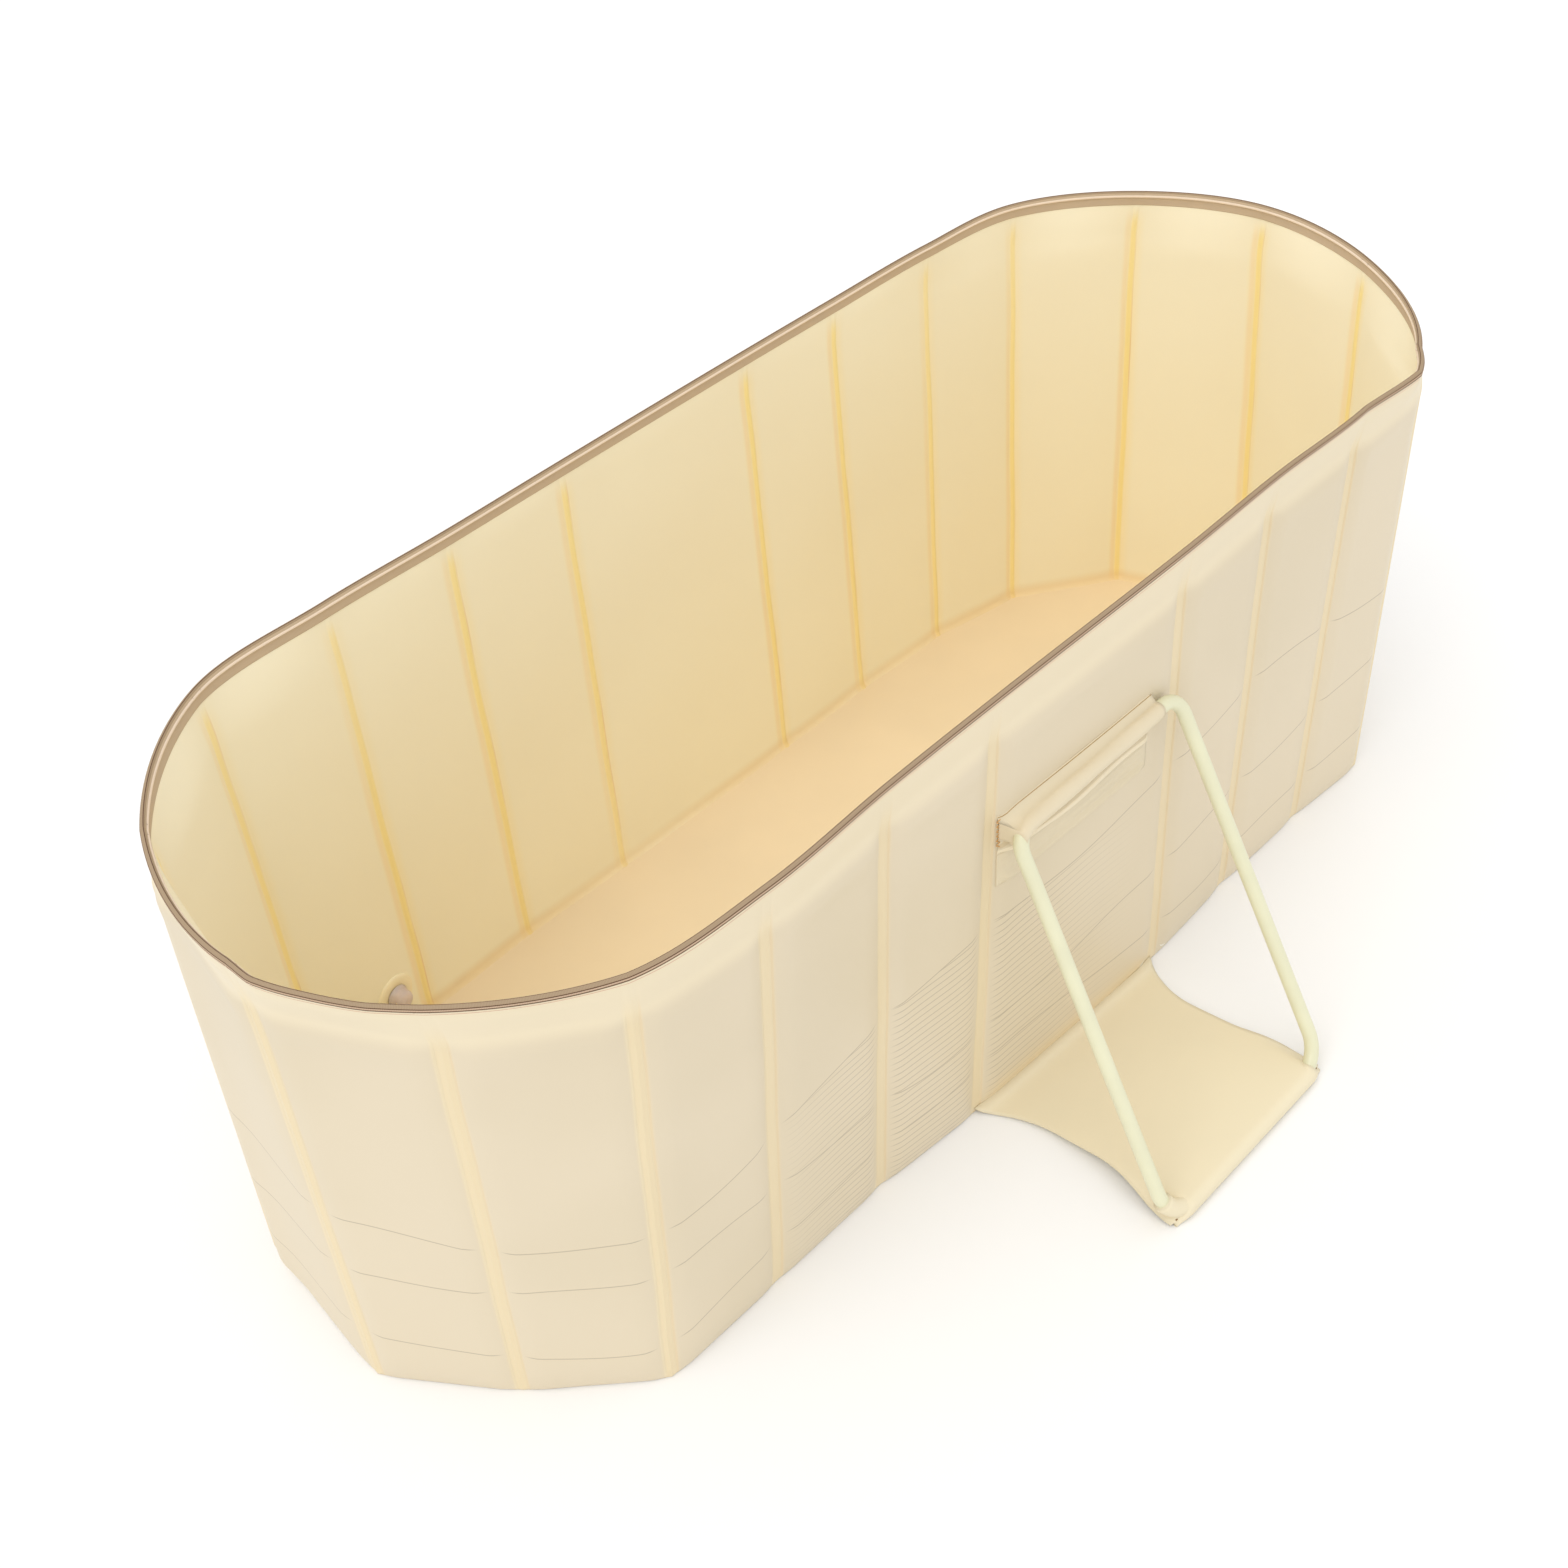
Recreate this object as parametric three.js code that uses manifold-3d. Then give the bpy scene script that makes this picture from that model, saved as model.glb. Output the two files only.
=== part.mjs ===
// Foldable bathtub, in millimetres, +Z up.
//
// A ring of stiff panels stands on a soft floor sheet. Every panel is a board in a welded pocket, and the
// thin seams between the pockets are the hinges. Two long walls, near (-Y) and far (+Y), carry seven panels
// each, and four panels close each round end. A zip tape runs round the top. On the outside of each long
// wall a bent tube loop hangs in a fabric sleeve and stands on the floor in the hem of a fabric flap, so
// that the wall can't bulge or tip when the tub is full. A drain goes through the far wall, low at the left.
//
// The origin is on the floor at the middle. X runs along the tub and Y across it.

import * as THREE from "three";
import { mergeVertices } from "three/addons/utils/BufferGeometryUtils.js";
import Module from "manifold-3d";

// Driving sizes of the tub.
const tubHeight = 550;
const halfWidth = 264; // middle of the tub to the fold line of a long wall
const widePanel = 258; // seam to seam, the middle panel of a long wall
const sidePanel = 138; // seam to seam, the two panels on each side of it
const lastSidePanel = 138; // the last panel of a long wall, which leans in
const shoulderPanel = 154; // seam to seam, the first panel of a round end
const leanIn = THREE.MathUtils.degToRad(6.5); // heading of the last side panel
const shoulderHeading = THREE.MathUtils.degToRad(42.4); // heading of the first end panel
const tipHeading = THREE.MathUtils.degToRad(69.8); // heading of the end panel that meets the tip

// The wall's build-up, from the fold line outwards. The fold line lies just inside the inner face.
const foldClearance = 0.3; // fold line to inner face
const seamClearance = 0.35; // fold line's corner to the end of a moving wall part
const weldThickness = 1.6; // the flat seam between two pockets
const skinThickness = 1.2; // one layer of film
const boardThickness = 5;
const boardClearance = 0.3;
const pocketPadding = 1.1; // soft layer outside the board
const pocketCrown = 1.6; // how far the middle of a pocket swells past its edges
const pocketRound = 10; // width of the rounded edge of a pocket
const boardInset = 12; // seam to the side edge of the board
const boardCorner = 10;
const softBand = 53; // rim down to the top edge of the boards
const boardLift = 1.5; // bottom edge of a board above the floor sheet
const overrun = 5; // how far a cutter runs past what it cuts

// Floor sheet.
const sheetThickness = 1.2;
const restGap = 0.3; // gap that touching pieces keep

// Zip tape round the rim.
const zipHeight = 15; // how much of the tape stands above the wall
const zipThickness = 1.4;
const zipCoilThickness = 2.6;
const zipCoilHeight = 4;
const zipCoilBelowTop = 5; // top of the tape to the top of the coil
const zipCoilBevel = 0.8;
const rimBow = 7; // how far the soft rim swells out between two seams of a round end

// Stand loop of bent tube, one on each long wall.
const tubeRadius = 8;
const loopHinge = 392; // height of the top tube's axis
const loopInsideSeam = 8; // seam of the wide panel to the leg at the top
const loopFlare = 8; // how much further out the leg is at the foot
const loopFootReach = 196; // from the top tube out to the foot tube
const loopTopCorner = 22;
const loopFootCorner = 34;
const legToWall = 3.5; // gap between a folded leg and the wall
const tubeSides = 12;
const cornerSteps = 6;

// Fabric sleeve welded on the wall, and the patch below it.
const sleeveShortOfBend = 1; // end of the sleeve to the tube's bend
const sleeveClearance = 0.4;
const sleeveFilm = 1.2;
const patchBelowHinge = 76; // hinge line to the lower edge of the patch
const patchAboveHinge = 15;
const patchWeld = 9; // width of the raised weld along the lower edge of the patch
const patchWeldRise = 1;
const sleeveSteps = 8;

// Flap from the wall's foot to the foot tube, and its hem round that tube.
const hemPastBend = 1; // how far the hem runs on to the tube's bend
const flapFilm = 1.2;
const flapPastSeam = 10; // how much wider than the wide panel it is at the wall
const flapWaistIn = 13; // leg at the foot to the flap's waist
const flapWaistOut = 78; // wall to the waist
const flapHemIn = 17; // leg at the foot to the flap's corner at the hem
const flapCurveSteps = 8;

// Drain through the far wall.
const drainFromSeam = 45; // from the seam before the last side panel
const drainHeight = 62;
const drainFlangeRadius = 27;
const drainFlangeThickness = 2.5;
const drainFlangeRound = 1;
const drainSpoutRadius = 12;
const drainBoreRadius = 9;
const drainSpoutLength = 24; // past the wall's outer face
const drainBarbRise = 1.4;
const drainBarbLength = 6;
const drainHoleClearance = 0.3;
const plugClearance = 0.3;
const plugLength = 11;
const plugTaper = 0.8;
const plugHeadRadius = 14;
const plugHeadThickness = 3;
const plugDome = 3.5;
const plugTabHeight = 14;
const plugTabHalf = 8;
const plugTabThickness = 3;
const roundSides = 20;

// Sizes worked out from the driving ones.
const wallFoot = sheetThickness + restGap;
const boardFoot = wallFoot + boardLift;
const boardSlot = boardThickness + 2 * boardClearance;
const pocketThickness = skinThickness + boardSlot + pocketPadding;
const wallTop = tubHeight - zipHeight - restGap;
const boardTop = tubHeight - softBand;
const outerFace = foldClearance + pocketThickness + pocketCrown; // fold line to the outermost film
const loopAxisOut = halfWidth + outerFace + legToWall + tubeRadius; // middle plane to the top tube's axis
const hemRadius = tubeRadius + sleeveClearance + flapFilm;
const footAxisOut = loopAxisOut + loopFootReach;
const loopTopHalf = widePanel / 2 - loopInsideSeam;
const loopFootHalf = loopTopHalf + loopFlare;
const sleeveHalfLength = loopTopHalf - loopTopCorner - sleeveShortOfBend;
const hemHalfLength = loopFootHalf - loopFootCorner + hemPastBend;
const flapWallHalf = widePanel / 2 + flapPastSeam;
const flapWaistHalf = loopFootHalf - flapWaistIn;
const flapHemHalf = loopFootHalf - flapHemIn;

const film = { color: 0xf0e4c8, roughness: 0.42, metalness: 0 };
const board = { color: 0xf4f1e6, roughness: 0.8, metalness: 0 };
const floorFilm = { color: 0xecd0a0, roughness: 0.4, metalness: 0 };
const zip = { color: 0xb59f83, roughness: 0.75, metalness: 0 };
const paintedSteel = { color: 0xe9e6c8, roughness: 0.35, metalness: 0.1 };
const flapCloth = { color: 0xeaddb8, roughness: 0.55, metalness: 0 };
const softPlastic = { color: 0xd9d4cc, roughness: 0.3, metalness: 0 };

const wasm = await Module();
wasm.setup();

const tub = new THREE.Group();

function addPiece(name, geometry, finish, parent = tub) {
  const mesh = new THREE.Mesh(geometry, new THREE.MeshStandardMaterial(finish));
  mesh.name = name;
  parent.add(mesh);
  return mesh;
}

// Booleans.
function toSolid(geometry) {
  const plain = geometry.clone();
  plain.deleteAttribute("normal");
  plain.deleteAttribute("uv");
  const merged = mergeVertices(plain, 1e-4);
  const mesh = new wasm.Mesh({
    numProp: 3,
    vertProperties: merged.attributes.position.array,
    triVerts: new Uint32Array(merged.index.array),
  });
  return new wasm.Manifold(mesh);
}

function toGeometry(solid) {
  const mesh = solid.getMesh();
  const geometry = new THREE.BufferGeometry();
  geometry.setAttribute("position", new THREE.BufferAttribute(mesh.vertProperties, 3));
  geometry.setIndex(new THREE.BufferAttribute(mesh.triVerts, 1));
  return geometry;
}

function cut(geometry, cutters) {
  let solid = toSolid(geometry);
  for (const cutter of cutters) solid = solid.subtract(toSolid(cutter));
  return toGeometry(solid);
}

// A closed surface through rings of points. Each ring runs the same way round and has as many points.
// Open ends are capped, with the triangles of the first ring's outline in its own plane (u, v).
function loft(rings, { closed = false, u = "x", v = "y" } = {}) {
  const count = rings[0].length;
  const positions = rings.flat().flatMap((point) => [point.x, point.y, point.z]);
  const faces = [];
  const last = closed ? rings.length : rings.length - 1;
  for (let row = 0; row < last; row++) {
    const next = (row + 1) % rings.length;
    for (let i = 0; i < count; i++) {
      const j = (i + 1) % count;
      const [a, b] = [row * count + i, row * count + j];
      const [c, d] = [next * count + i, next * count + j];
      faces.push(a, b, d, a, d, c);
    }
  }
  if (!closed) {
    const outline = rings[0].map((point) => new THREE.Vector2(point[u], point[v]));
    const top = (rings.length - 1) * count;
    for (const [a, b, c] of THREE.ShapeUtils.triangulateShape(outline, [])) {
      faces.push(a, c, b, top + a, top + b, top + c);
    }
  }
  const geometry = new THREE.BufferGeometry();
  geometry.setAttribute("position", new THREE.Float32BufferAttribute(positions, 3));
  geometry.setIndex(faces);
  return toSolid(geometry).volume() < 0 ? flipped(geometry) : geometry;
}

function flipped(geometry) {
  const index = Array.from(geometry.index.array);
  for (let i = 0; i < index.length; i += 3) {
    [index[i + 1], index[i + 2]] = [index[i + 2], index[i + 1]];
  }
  geometry.setIndex(index);
  return geometry;
}

// Plan of the ring, one quarter of its seams: the long wall's, the shoulder's and the tip's.
const longWall = [new THREE.Vector2(widePanel / 2, halfWidth)];
function nextSeam(from, length, heading) {
  return new THREE.Vector2(from.x + length * Math.cos(heading), from.y - length * Math.sin(heading));
}
longWall.push(nextSeam(longWall.at(-1), sidePanel, 0));
longWall.push(nextSeam(longWall.at(-1), sidePanel, 0));
longWall.push(nextSeam(longWall.at(-1), lastSidePanel, leanIn));
const wallEnd = longWall.at(-1);
const shoulder = nextSeam(wallEnd, shoulderPanel, shoulderHeading);
const tip = nextSeam(shoulder, shoulder.y / Math.sin(tipHeading), tipHeading); // on the middle plane

const [left, right, near, far] = [-1, 1, -1, 1];
const mirrored = (points, side, wall) =>
  points.map((point) => new THREE.Vector2(side * point.x, wall * point.y));

// Seam points of every rigid part of the ring, counter-clockwise seen from above.
const wallParts = {
  near_wall: [...mirrored(longWall, left, near).reverse(), ...mirrored(longWall, right, near)],
  right_shoulder_near: mirrored([wallEnd, shoulder], right, near),
  right_end_near: mirrored([shoulder, tip], right, near),
  right_end_far: mirrored([tip, shoulder], right, far),
  right_shoulder_far: mirrored([shoulder, wallEnd], right, far),
  far_wall: [...mirrored(longWall, right, far).reverse(), ...mirrored(longWall, left, far)],
  left_shoulder_far: mirrored([wallEnd, shoulder], left, far),
  left_end_far: mirrored([shoulder, tip], left, far),
  left_end_near: mirrored([tip, shoulder], left, near),
  left_shoulder_near: mirrored([shoulder, wallEnd], left, near),
};

const along = (from, to) => to.clone().sub(from).normalize();
const outward = (direction) => new THREE.Vector2(direction.y, -direction.x);

// Unit offsets at the seams of a part, mitred where two panels meet.
function seamOffsets(points) {
  return points.map((point, i) => {
    const before = i > 0 ? outward(along(points[i - 1], point)) : null;
    const after = i < points.length - 1 ? outward(along(point, points[i + 1])) : null;
    if (!before || !after) return before ?? after;
    const middle = before.clone().add(after).normalize();
    return middle.divideScalar(middle.dot(after));
  });
}

// Places along a part: each has its point on the fold line, its offset direction, how far the pocket
// swells there and how far the rim above it bows. The ends stay a clearance short of the fold corner.
// The outer film needs every place, and the inner film and the zip tape only those marked plain.
const edgeShares = [0, 0.15, 0.5, 1]; // of the rounded edge's width
const middleShares = [0.25, 0.5, 0.75]; // of the flat part's width
const roundRise = (share) => Math.sqrt(1 - (1 - share) ** 2);
const crownRise = (share) => 1 - (2 * share - 1) ** 2;

function pocketPlaces(points) {
  const offsets = seamOffsets(points);
  const atRoundEnd = points.length === 2;
  const places = [];
  for (let i = 0; i + 1 < points.length; i++) {
    const direction = along(points[i], points[i + 1]);
    const length = points[i].distanceTo(points[i + 1]);
    const flat = length - 2 * pocketRound;
    const straight = outward(direction);
    const steps = [
      ...edgeShares.map((share) => [share * pocketRound, roundRise(share), 0]),
      ...middleShares.map((share) => [pocketRound + share * flat, 1, crownRise(share)]),
      ...edgeShares.map((share) => [length - share * pocketRound, roundRise(share), 0]).reverse(),
    ];
    steps.forEach(([distance, rise, crown], step) => {
      const atStart = step === 0;
      const atEnd = step === steps.length - 1;
      if (atStart && i > 0) return; // shared with the pocket before
      let place = distance;
      if (atStart) place += seamClearance;
      if (atEnd && i === points.length - 2) place -= seamClearance;
      const offset = atStart ? offsets[i] : atEnd ? offsets[i + 1] : straight;
      places.push({
        point: points[i].clone().addScaledVector(direction, place),
        offset,
        swelling: rise * (pocketThickness - weldThickness) + crown * pocketCrown,
        bow: atRoundEnd ? rimBow * crownRise(distance / length) : 0,
        plain: atStart || atEnd || (atRoundEnd && crown > 0),
      });
    });
  }
  return places;
}

function offsetPoint(place, distance, z) {
  const point = place.point.clone().addScaledVector(place.offset, distance);
  return new THREE.Vector3(point.x, point.y, z);
}

// One film cover: a row of pockets that narrow to the weld at the seams and under the rim. Above the
// boards the film is soft, and at the round ends it bows out towards the rim.
const softShares = [0, 0.15, 0.5, 0.85, 1]; // of the height from the top of the boards to the top of the film
function coverGeometry(points) {
  const places = pocketPlaces(points);
  const plainPlaces = places.filter((place) => place.plain).reverse();
  const levels = [
    { z: wallFoot, fullness: 1, bow: 0 },
    ...softShares.map((share) => ({
      z: boardTop + share * (wallTop - boardTop),
      fullness: roundRise(1 - share),
      bow: share,
    })),
  ];
  const rings = levels.map(({ z, fullness, bow }) => [
    ...places.map((place) => {
      const swollen = weldThickness + fullness * place.swelling;
      return offsetPoint(place, foldClearance + swollen + bow * place.bow, z);
    }),
    ...plainPlaces.map((place) => offsetPoint(place, foldClearance + bow * place.bow, z)),
  ]);
  return loft(rings);
}

// A rounded rectangle in the panel's own plane, pushed outwards from the fold line.
function panelSlab(from, to, { inset, foot, top, corner, start, thickness, squareFoot = false }) {
  const length = from.distanceTo(to);
  const [low, high] = [inset, length - inset];
  const outline = new THREE.Shape();
  outline.moveTo(high, squareFoot ? foot : foot + corner);
  outline.lineTo(high, top - corner);
  outline.absarc(high - corner, top - corner, corner, 0, Math.PI / 2);
  outline.absarc(low + corner, top - corner, corner, Math.PI / 2, Math.PI);
  if (squareFoot) {
    outline.lineTo(low, foot);
  } else {
    outline.absarc(low + corner, foot + corner, corner, Math.PI, 1.5 * Math.PI);
    outline.absarc(high - corner, foot + corner, corner, -Math.PI / 2, 0);
  }
  const slab = new THREE.ExtrudeGeometry(outline, {
    depth: thickness,
    bevelEnabled: false,
    curveSegments: 4,
  });
  const direction = along(from, to);
  const normal = outward(direction);
  const place = new THREE.Matrix4().makeBasis(
    new THREE.Vector3(direction.x, direction.y, 0),
    new THREE.Vector3(0, 0, 1),
    new THREE.Vector3(normal.x, normal.y, 0),
  );
  place.setPosition(from.x + start * normal.x, from.y + start * normal.y, 0);
  return slab.applyMatrix4(place);
}

const slotGeometry = (from, to) =>
  panelSlab(from, to, {
    inset: boardInset - boardClearance,
    foot: wallFoot - overrun,
    top: boardTop + boardClearance,
    corner: boardCorner,
    start: foldClearance + skinThickness,
    thickness: boardSlot,
    squareFoot: true,
  });

const boardGeometry = (from, to) =>
  panelSlab(from, to, {
    inset: boardInset,
    foot: boardFoot,
    top: boardTop,
    corner: boardCorner,
    start: foldClearance + skinThickness + boardClearance,
    thickness: boardThickness,
  });

// The zip tape stands on the wall's top edge and follows it, with the coil as a thicker band.
function zipGeometry(points) {
  const places = pocketPlaces(points).filter((place) => place.plain);
  const coilTop = tubHeight - zipCoilBelowTop;
  const coilFoot = coilTop - zipCoilHeight;
  const levels = [
    [wallTop + restGap, zipThickness],
    [coilFoot - zipCoilBevel, zipThickness],
    [coilFoot, zipCoilThickness],
    [coilTop, zipCoilThickness],
    [coilTop + zipCoilBevel, zipThickness],
    [tubHeight, zipThickness],
  ];
  const rings = levels.map(([z, thickness]) => [
    ...places.map((place) => offsetPoint(place, foldClearance + place.bow + thickness, z)),
    ...places.map((place) => offsetPoint(place, foldClearance + place.bow, z)).reverse(),
  ]);
  return loft(rings);
}

// Drain axis: through the last side panel of the far wall on the left, square to it.
const [drainFrom, drainTo] = mirrored(longWall.slice(-2), left, far);
const drainAlong = along(drainFrom, drainTo);
const drainOut = outward(drainAlong);
const drainPlan = drainFrom.clone().addScaledVector(drainAlong, drainFromSeam);
const drainFrame = new THREE.Matrix4()
  .makeBasis(
    new THREE.Vector3(-drainAlong.x, -drainAlong.y, 0),
    new THREE.Vector3(drainOut.x, drainOut.y, 0),
    new THREE.Vector3(0, 0, 1),
  )
  .setPosition(drainPlan.x, drainPlan.y, drainHeight);

// Turned pieces of the drain: a profile of (radius, distance outwards from the fold line).
function turned(profile) {
  const points = profile.map(([radius, distance]) => new THREE.Vector2(radius, distance));
  return new THREE.LatheGeometry(points, roundSides).applyMatrix4(drainFrame);
}

const wallHoleRadius = drainSpoutRadius + drainHoleClearance;
const wallHole = turned([
  [0, -overrun],
  [wallHoleRadius, -overrun],
  [wallHoleRadius, outerFace + overrun],
  [0, outerFace + overrun],
]);

// Ring of covers, boards and zip tapes.
for (const [name, points] of Object.entries(wallParts)) {
  const pockets = points.slice(0, -1).map((from, i) => [from, points[i + 1]]);
  const drained = name === "far_wall" ? pockets.length - 1 : -1; // the pocket with the drain
  const cutters = pockets.map(([from, to]) => slotGeometry(from, to));
  if (drained >= 0) cutters.push(wallHole);
  addPiece(name + "_cover", cut(coverGeometry(points), cutters), film);
  pockets.forEach((pocket, i) => {
    const plain = boardGeometry(...pocket);
    addPiece(name + "_board_" + (i + 1), i === drained ? cut(plain, [wallHole]) : plain, board);
  });
  addPiece(name + "_zip_tape", zipGeometry(points), zip);
}

// Floor sheet, cut to the outer face of the walls, which stand on its edge.
const ringPoints = Object.values(wallParts).flatMap((points) => points.slice(0, -1));
const sheetOffsets = ringPoints.map((point, i) => {
  const before = outward(along(ringPoints.at(i - 1), point));
  const after = outward(along(point, ringPoints[(i + 1) % ringPoints.length]));
  const middle = before.add(after).normalize();
  return middle.divideScalar(middle.dot(after));
});
const sheetRing = (z) =>
  ringPoints.map((point, i) =>
    offsetPoint({ point, offset: sheetOffsets[i] }, foldClearance + pocketThickness, z),
  );
addPiece("floor_sheet", loft([sheetRing(0), sheetRing(sheetThickness)]), floorFilm);

// Drain fitting: flange inside, spout through the wall, barb for a hose. The plug sits in its bore.
const spoutEnd = outerFace + drainSpoutLength;
const flangeFace = -drainFlangeThickness;
const flangeBack = foldClearance - restGap;
const barbRadius = drainSpoutRadius + drainBarbRise;
addPiece(
  "drain_fitting",
  turned([
    [drainBoreRadius, flangeFace],
    [drainFlangeRadius - drainFlangeRound, flangeFace],
    [drainFlangeRadius, flangeFace + drainFlangeRound],
    [drainFlangeRadius, flangeBack],
    [drainSpoutRadius, flangeBack],
    [drainSpoutRadius, spoutEnd - 2 * drainBarbLength],
    [barbRadius, spoutEnd - 2 * drainBarbLength],
    [drainSpoutRadius, spoutEnd - drainBarbLength],
    [barbRadius, spoutEnd - drainBarbLength],
    [drainSpoutRadius, spoutEnd],
    [drainBoreRadius, spoutEnd],
    [drainBoreRadius, flangeFace],
  ]),
  softPlastic,
);

const plugRadius = drainBoreRadius - plugClearance;
const headBack = flangeFace - restGap;
const headFace = headBack - plugHeadThickness;
const domeSteps = 4;
const domeProfile = [];
for (let step = 0; step <= domeSteps; step++) {
  const angle = ((Math.PI / 2) * step) / domeSteps;
  domeProfile.push([plugHeadRadius * Math.sin(angle), headFace - plugDome * Math.cos(angle)]);
}
const plugBody = turned([
  ...domeProfile,
  [plugHeadRadius, headBack],
  [plugRadius, headBack],
  [plugRadius - plugTaper, headBack + plugLength],
  [0, headBack + plugLength],
]);
const tabShape = new THREE.Shape();
tabShape.moveTo(-plugTabHalf, 0);
tabShape.lineTo(-plugTabHalf, -plugTabHeight + plugTabHalf);
tabShape.absarc(0, -plugTabHeight + plugTabHalf, plugTabHalf, Math.PI, 2 * Math.PI);
tabShape.lineTo(plugTabHalf, 0);
const plugTab = new THREE.ExtrudeGeometry(tabShape, {
  depth: plugTabThickness,
  bevelEnabled: false,
  curveSegments: 10,
})
  .translate(0, headFace, -plugTabThickness / 2)
  .applyMatrix4(drainFrame);
addPiece("drain_plug", toGeometry(toSolid(plugBody).add(toSolid(plugTab))), softPlastic);

// Stand, built for the near wall; the far one is the same turned half round.
const loopFall = loopHinge - hemRadius; // hinge line down to the foot tube's axis
const legLength = Math.hypot(loopFall, loopFootReach);
const hingePoint = new THREE.Vector3(0, -loopAxisOut, loopHinge);
const downLeg = new THREE.Vector3(0, -loopFootReach, -loopFall).divideScalar(legLength);
const acrossLoop = new THREE.Vector3(1, 0, 0);
const offLoop = new THREE.Vector3().crossVectors(acrossLoop, downLeg);

// Corner points of a closed path rounded with the given radii, as points of the loop's own plane.
function roundedPath(corners) {
  const points = [];
  corners.forEach(({ at, radius }, i) => {
    const before = corners.at(i - 1).at.clone().sub(at).normalize();
    const after = corners[(i + 1) % corners.length].at.clone().sub(at).normalize();
    const half = Math.acos(before.dot(after)) / 2;
    const bisector = before.clone().add(after).normalize();
    const centre = at.clone().addScaledVector(bisector, radius / Math.sin(half));
    const reach = radius / Math.tan(half);
    const start = at.clone().addScaledVector(before, reach).sub(centre);
    const finish = at.clone().addScaledVector(after, reach).sub(centre);
    const turn = start.angle();
    let sweep = finish.angle() - turn;
    if (sweep > Math.PI) sweep -= 2 * Math.PI;
    if (sweep < -Math.PI) sweep += 2 * Math.PI;
    for (let step = 0; step <= cornerSteps; step++) {
      const angle = turn + (sweep * step) / cornerSteps;
      points.push(centre.clone().add(new THREE.Vector2(Math.cos(angle), Math.sin(angle)).multiplyScalar(radius)));
    }
  });
  return points;
}

// A round tube along a closed path in a plane, mitred at every point.
function closedTube(path, radius, toSpace, normal) {
  const rings = path.map((point, i) => {
    const before = along(path.at(i - 1), point);
    const after = along(point, path[(i + 1) % path.length]);
    const middle = outward(before).add(outward(after)).normalize();
    const stretch = 1 / middle.dot(outward(after));
    const centre = toSpace(point);
    const side = toSpace(point.clone().add(middle)).sub(centre).multiplyScalar(stretch * radius);
    const ring = [];
    for (let step = 0; step < tubeSides; step++) {
      const angle = ((step + 0.5) / tubeSides) * 2 * Math.PI;
      const spot = centre.clone().addScaledVector(side, Math.cos(angle));
      ring.push(spot.addScaledVector(normal, radius * Math.sin(angle)));
    }
    return ring;
  });
  return loft(rings, { closed: true });
}

function standLoop() {
  const path = roundedPath([
    { at: new THREE.Vector2(-loopTopHalf, 0), radius: loopTopCorner },
    { at: new THREE.Vector2(loopTopHalf, 0), radius: loopTopCorner },
    { at: new THREE.Vector2(loopFootHalf, legLength), radius: loopFootCorner },
    { at: new THREE.Vector2(-loopFootHalf, legLength), radius: loopFootCorner },
  ]);
  const toSpace = (point) =>
    hingePoint.clone().addScaledVector(acrossLoop, point.x).addScaledVector(downLeg, point.y);
  return closedTube(path, tubeRadius, toSpace, offLoop);
}

// A profile in the plane across X, pushed along X on both sides of the middle.
function acrossWall(outline, halfLength) {
  const shape = new THREE.Shape(outline);
  const solid = new THREE.ExtrudeGeometry(shape, { depth: 2 * halfLength, bevelEnabled: false });
  const place = new THREE.Matrix4().makeBasis(
    new THREE.Vector3(0, 1, 0),
    new THREE.Vector3(0, 0, 1),
    new THREE.Vector3(1, 0, 0),
  );
  return solid.applyMatrix4(place.setPosition(-halfLength, 0, 0));
}

// Sleeve: a strip of film that lies on the wall below the tube, goes round it and is welded above it.
function sleeveGeometry() {
  const back = -(halfWidth + outerFace + restGap); // against the wall
  const front = back - sleeveFilm;
  const bore = (tubeRadius + sleeveClearance) / Math.cos(Math.PI / (2 * sleeveSteps));
  const outside = bore + sleeveFilm;
  const foot = loopHinge - patchBelowHinge;
  const top = loopHinge + patchAboveHinge;
  const arc = (radius, from, to) => {
    const points = [];
    for (let step = 0; step <= sleeveSteps; step++) {
      const angle = from + ((to - from) * step) / sleeveSteps;
      points.push(
        new THREE.Vector2(-loopAxisOut - radius * Math.cos(angle), loopHinge + radius * Math.sin(angle)),
      );
    }
    return points;
  };
  // The strip leaves the wall above and below the tube, so its outside is an arc over the tube's front.
  const outline = [
    new THREE.Vector2(back, foot),
    new THREE.Vector2(front - patchWeldRise, foot),
    new THREE.Vector2(front - patchWeldRise, foot + patchWeld),
    new THREE.Vector2(front, foot + patchWeld + patchWeldRise),
    new THREE.Vector2(front, loopHinge - outside - sleeveFilm),
    ...arc(outside, -Math.PI / 2, Math.PI / 2),
    new THREE.Vector2(front, top - sleeveFilm),
    new THREE.Vector2(front, top),
    new THREE.Vector2(back, top),
  ];
  const frontHalf = arc(bore, -Math.PI / 2, Math.PI / 2);
  const backHalf = frontHalf.map((point) => new THREE.Vector2(-2 * loopAxisOut - point.x, point.y));
  const boreOutline = [...frontHalf, ...backHalf.slice(1, -1).reverse()];
  const solid = acrossWall(outline, sleeveHalfLength);
  return cut(solid, [acrossWall(boreOutline, sleeveHalfLength + overrun)]);
}

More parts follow.
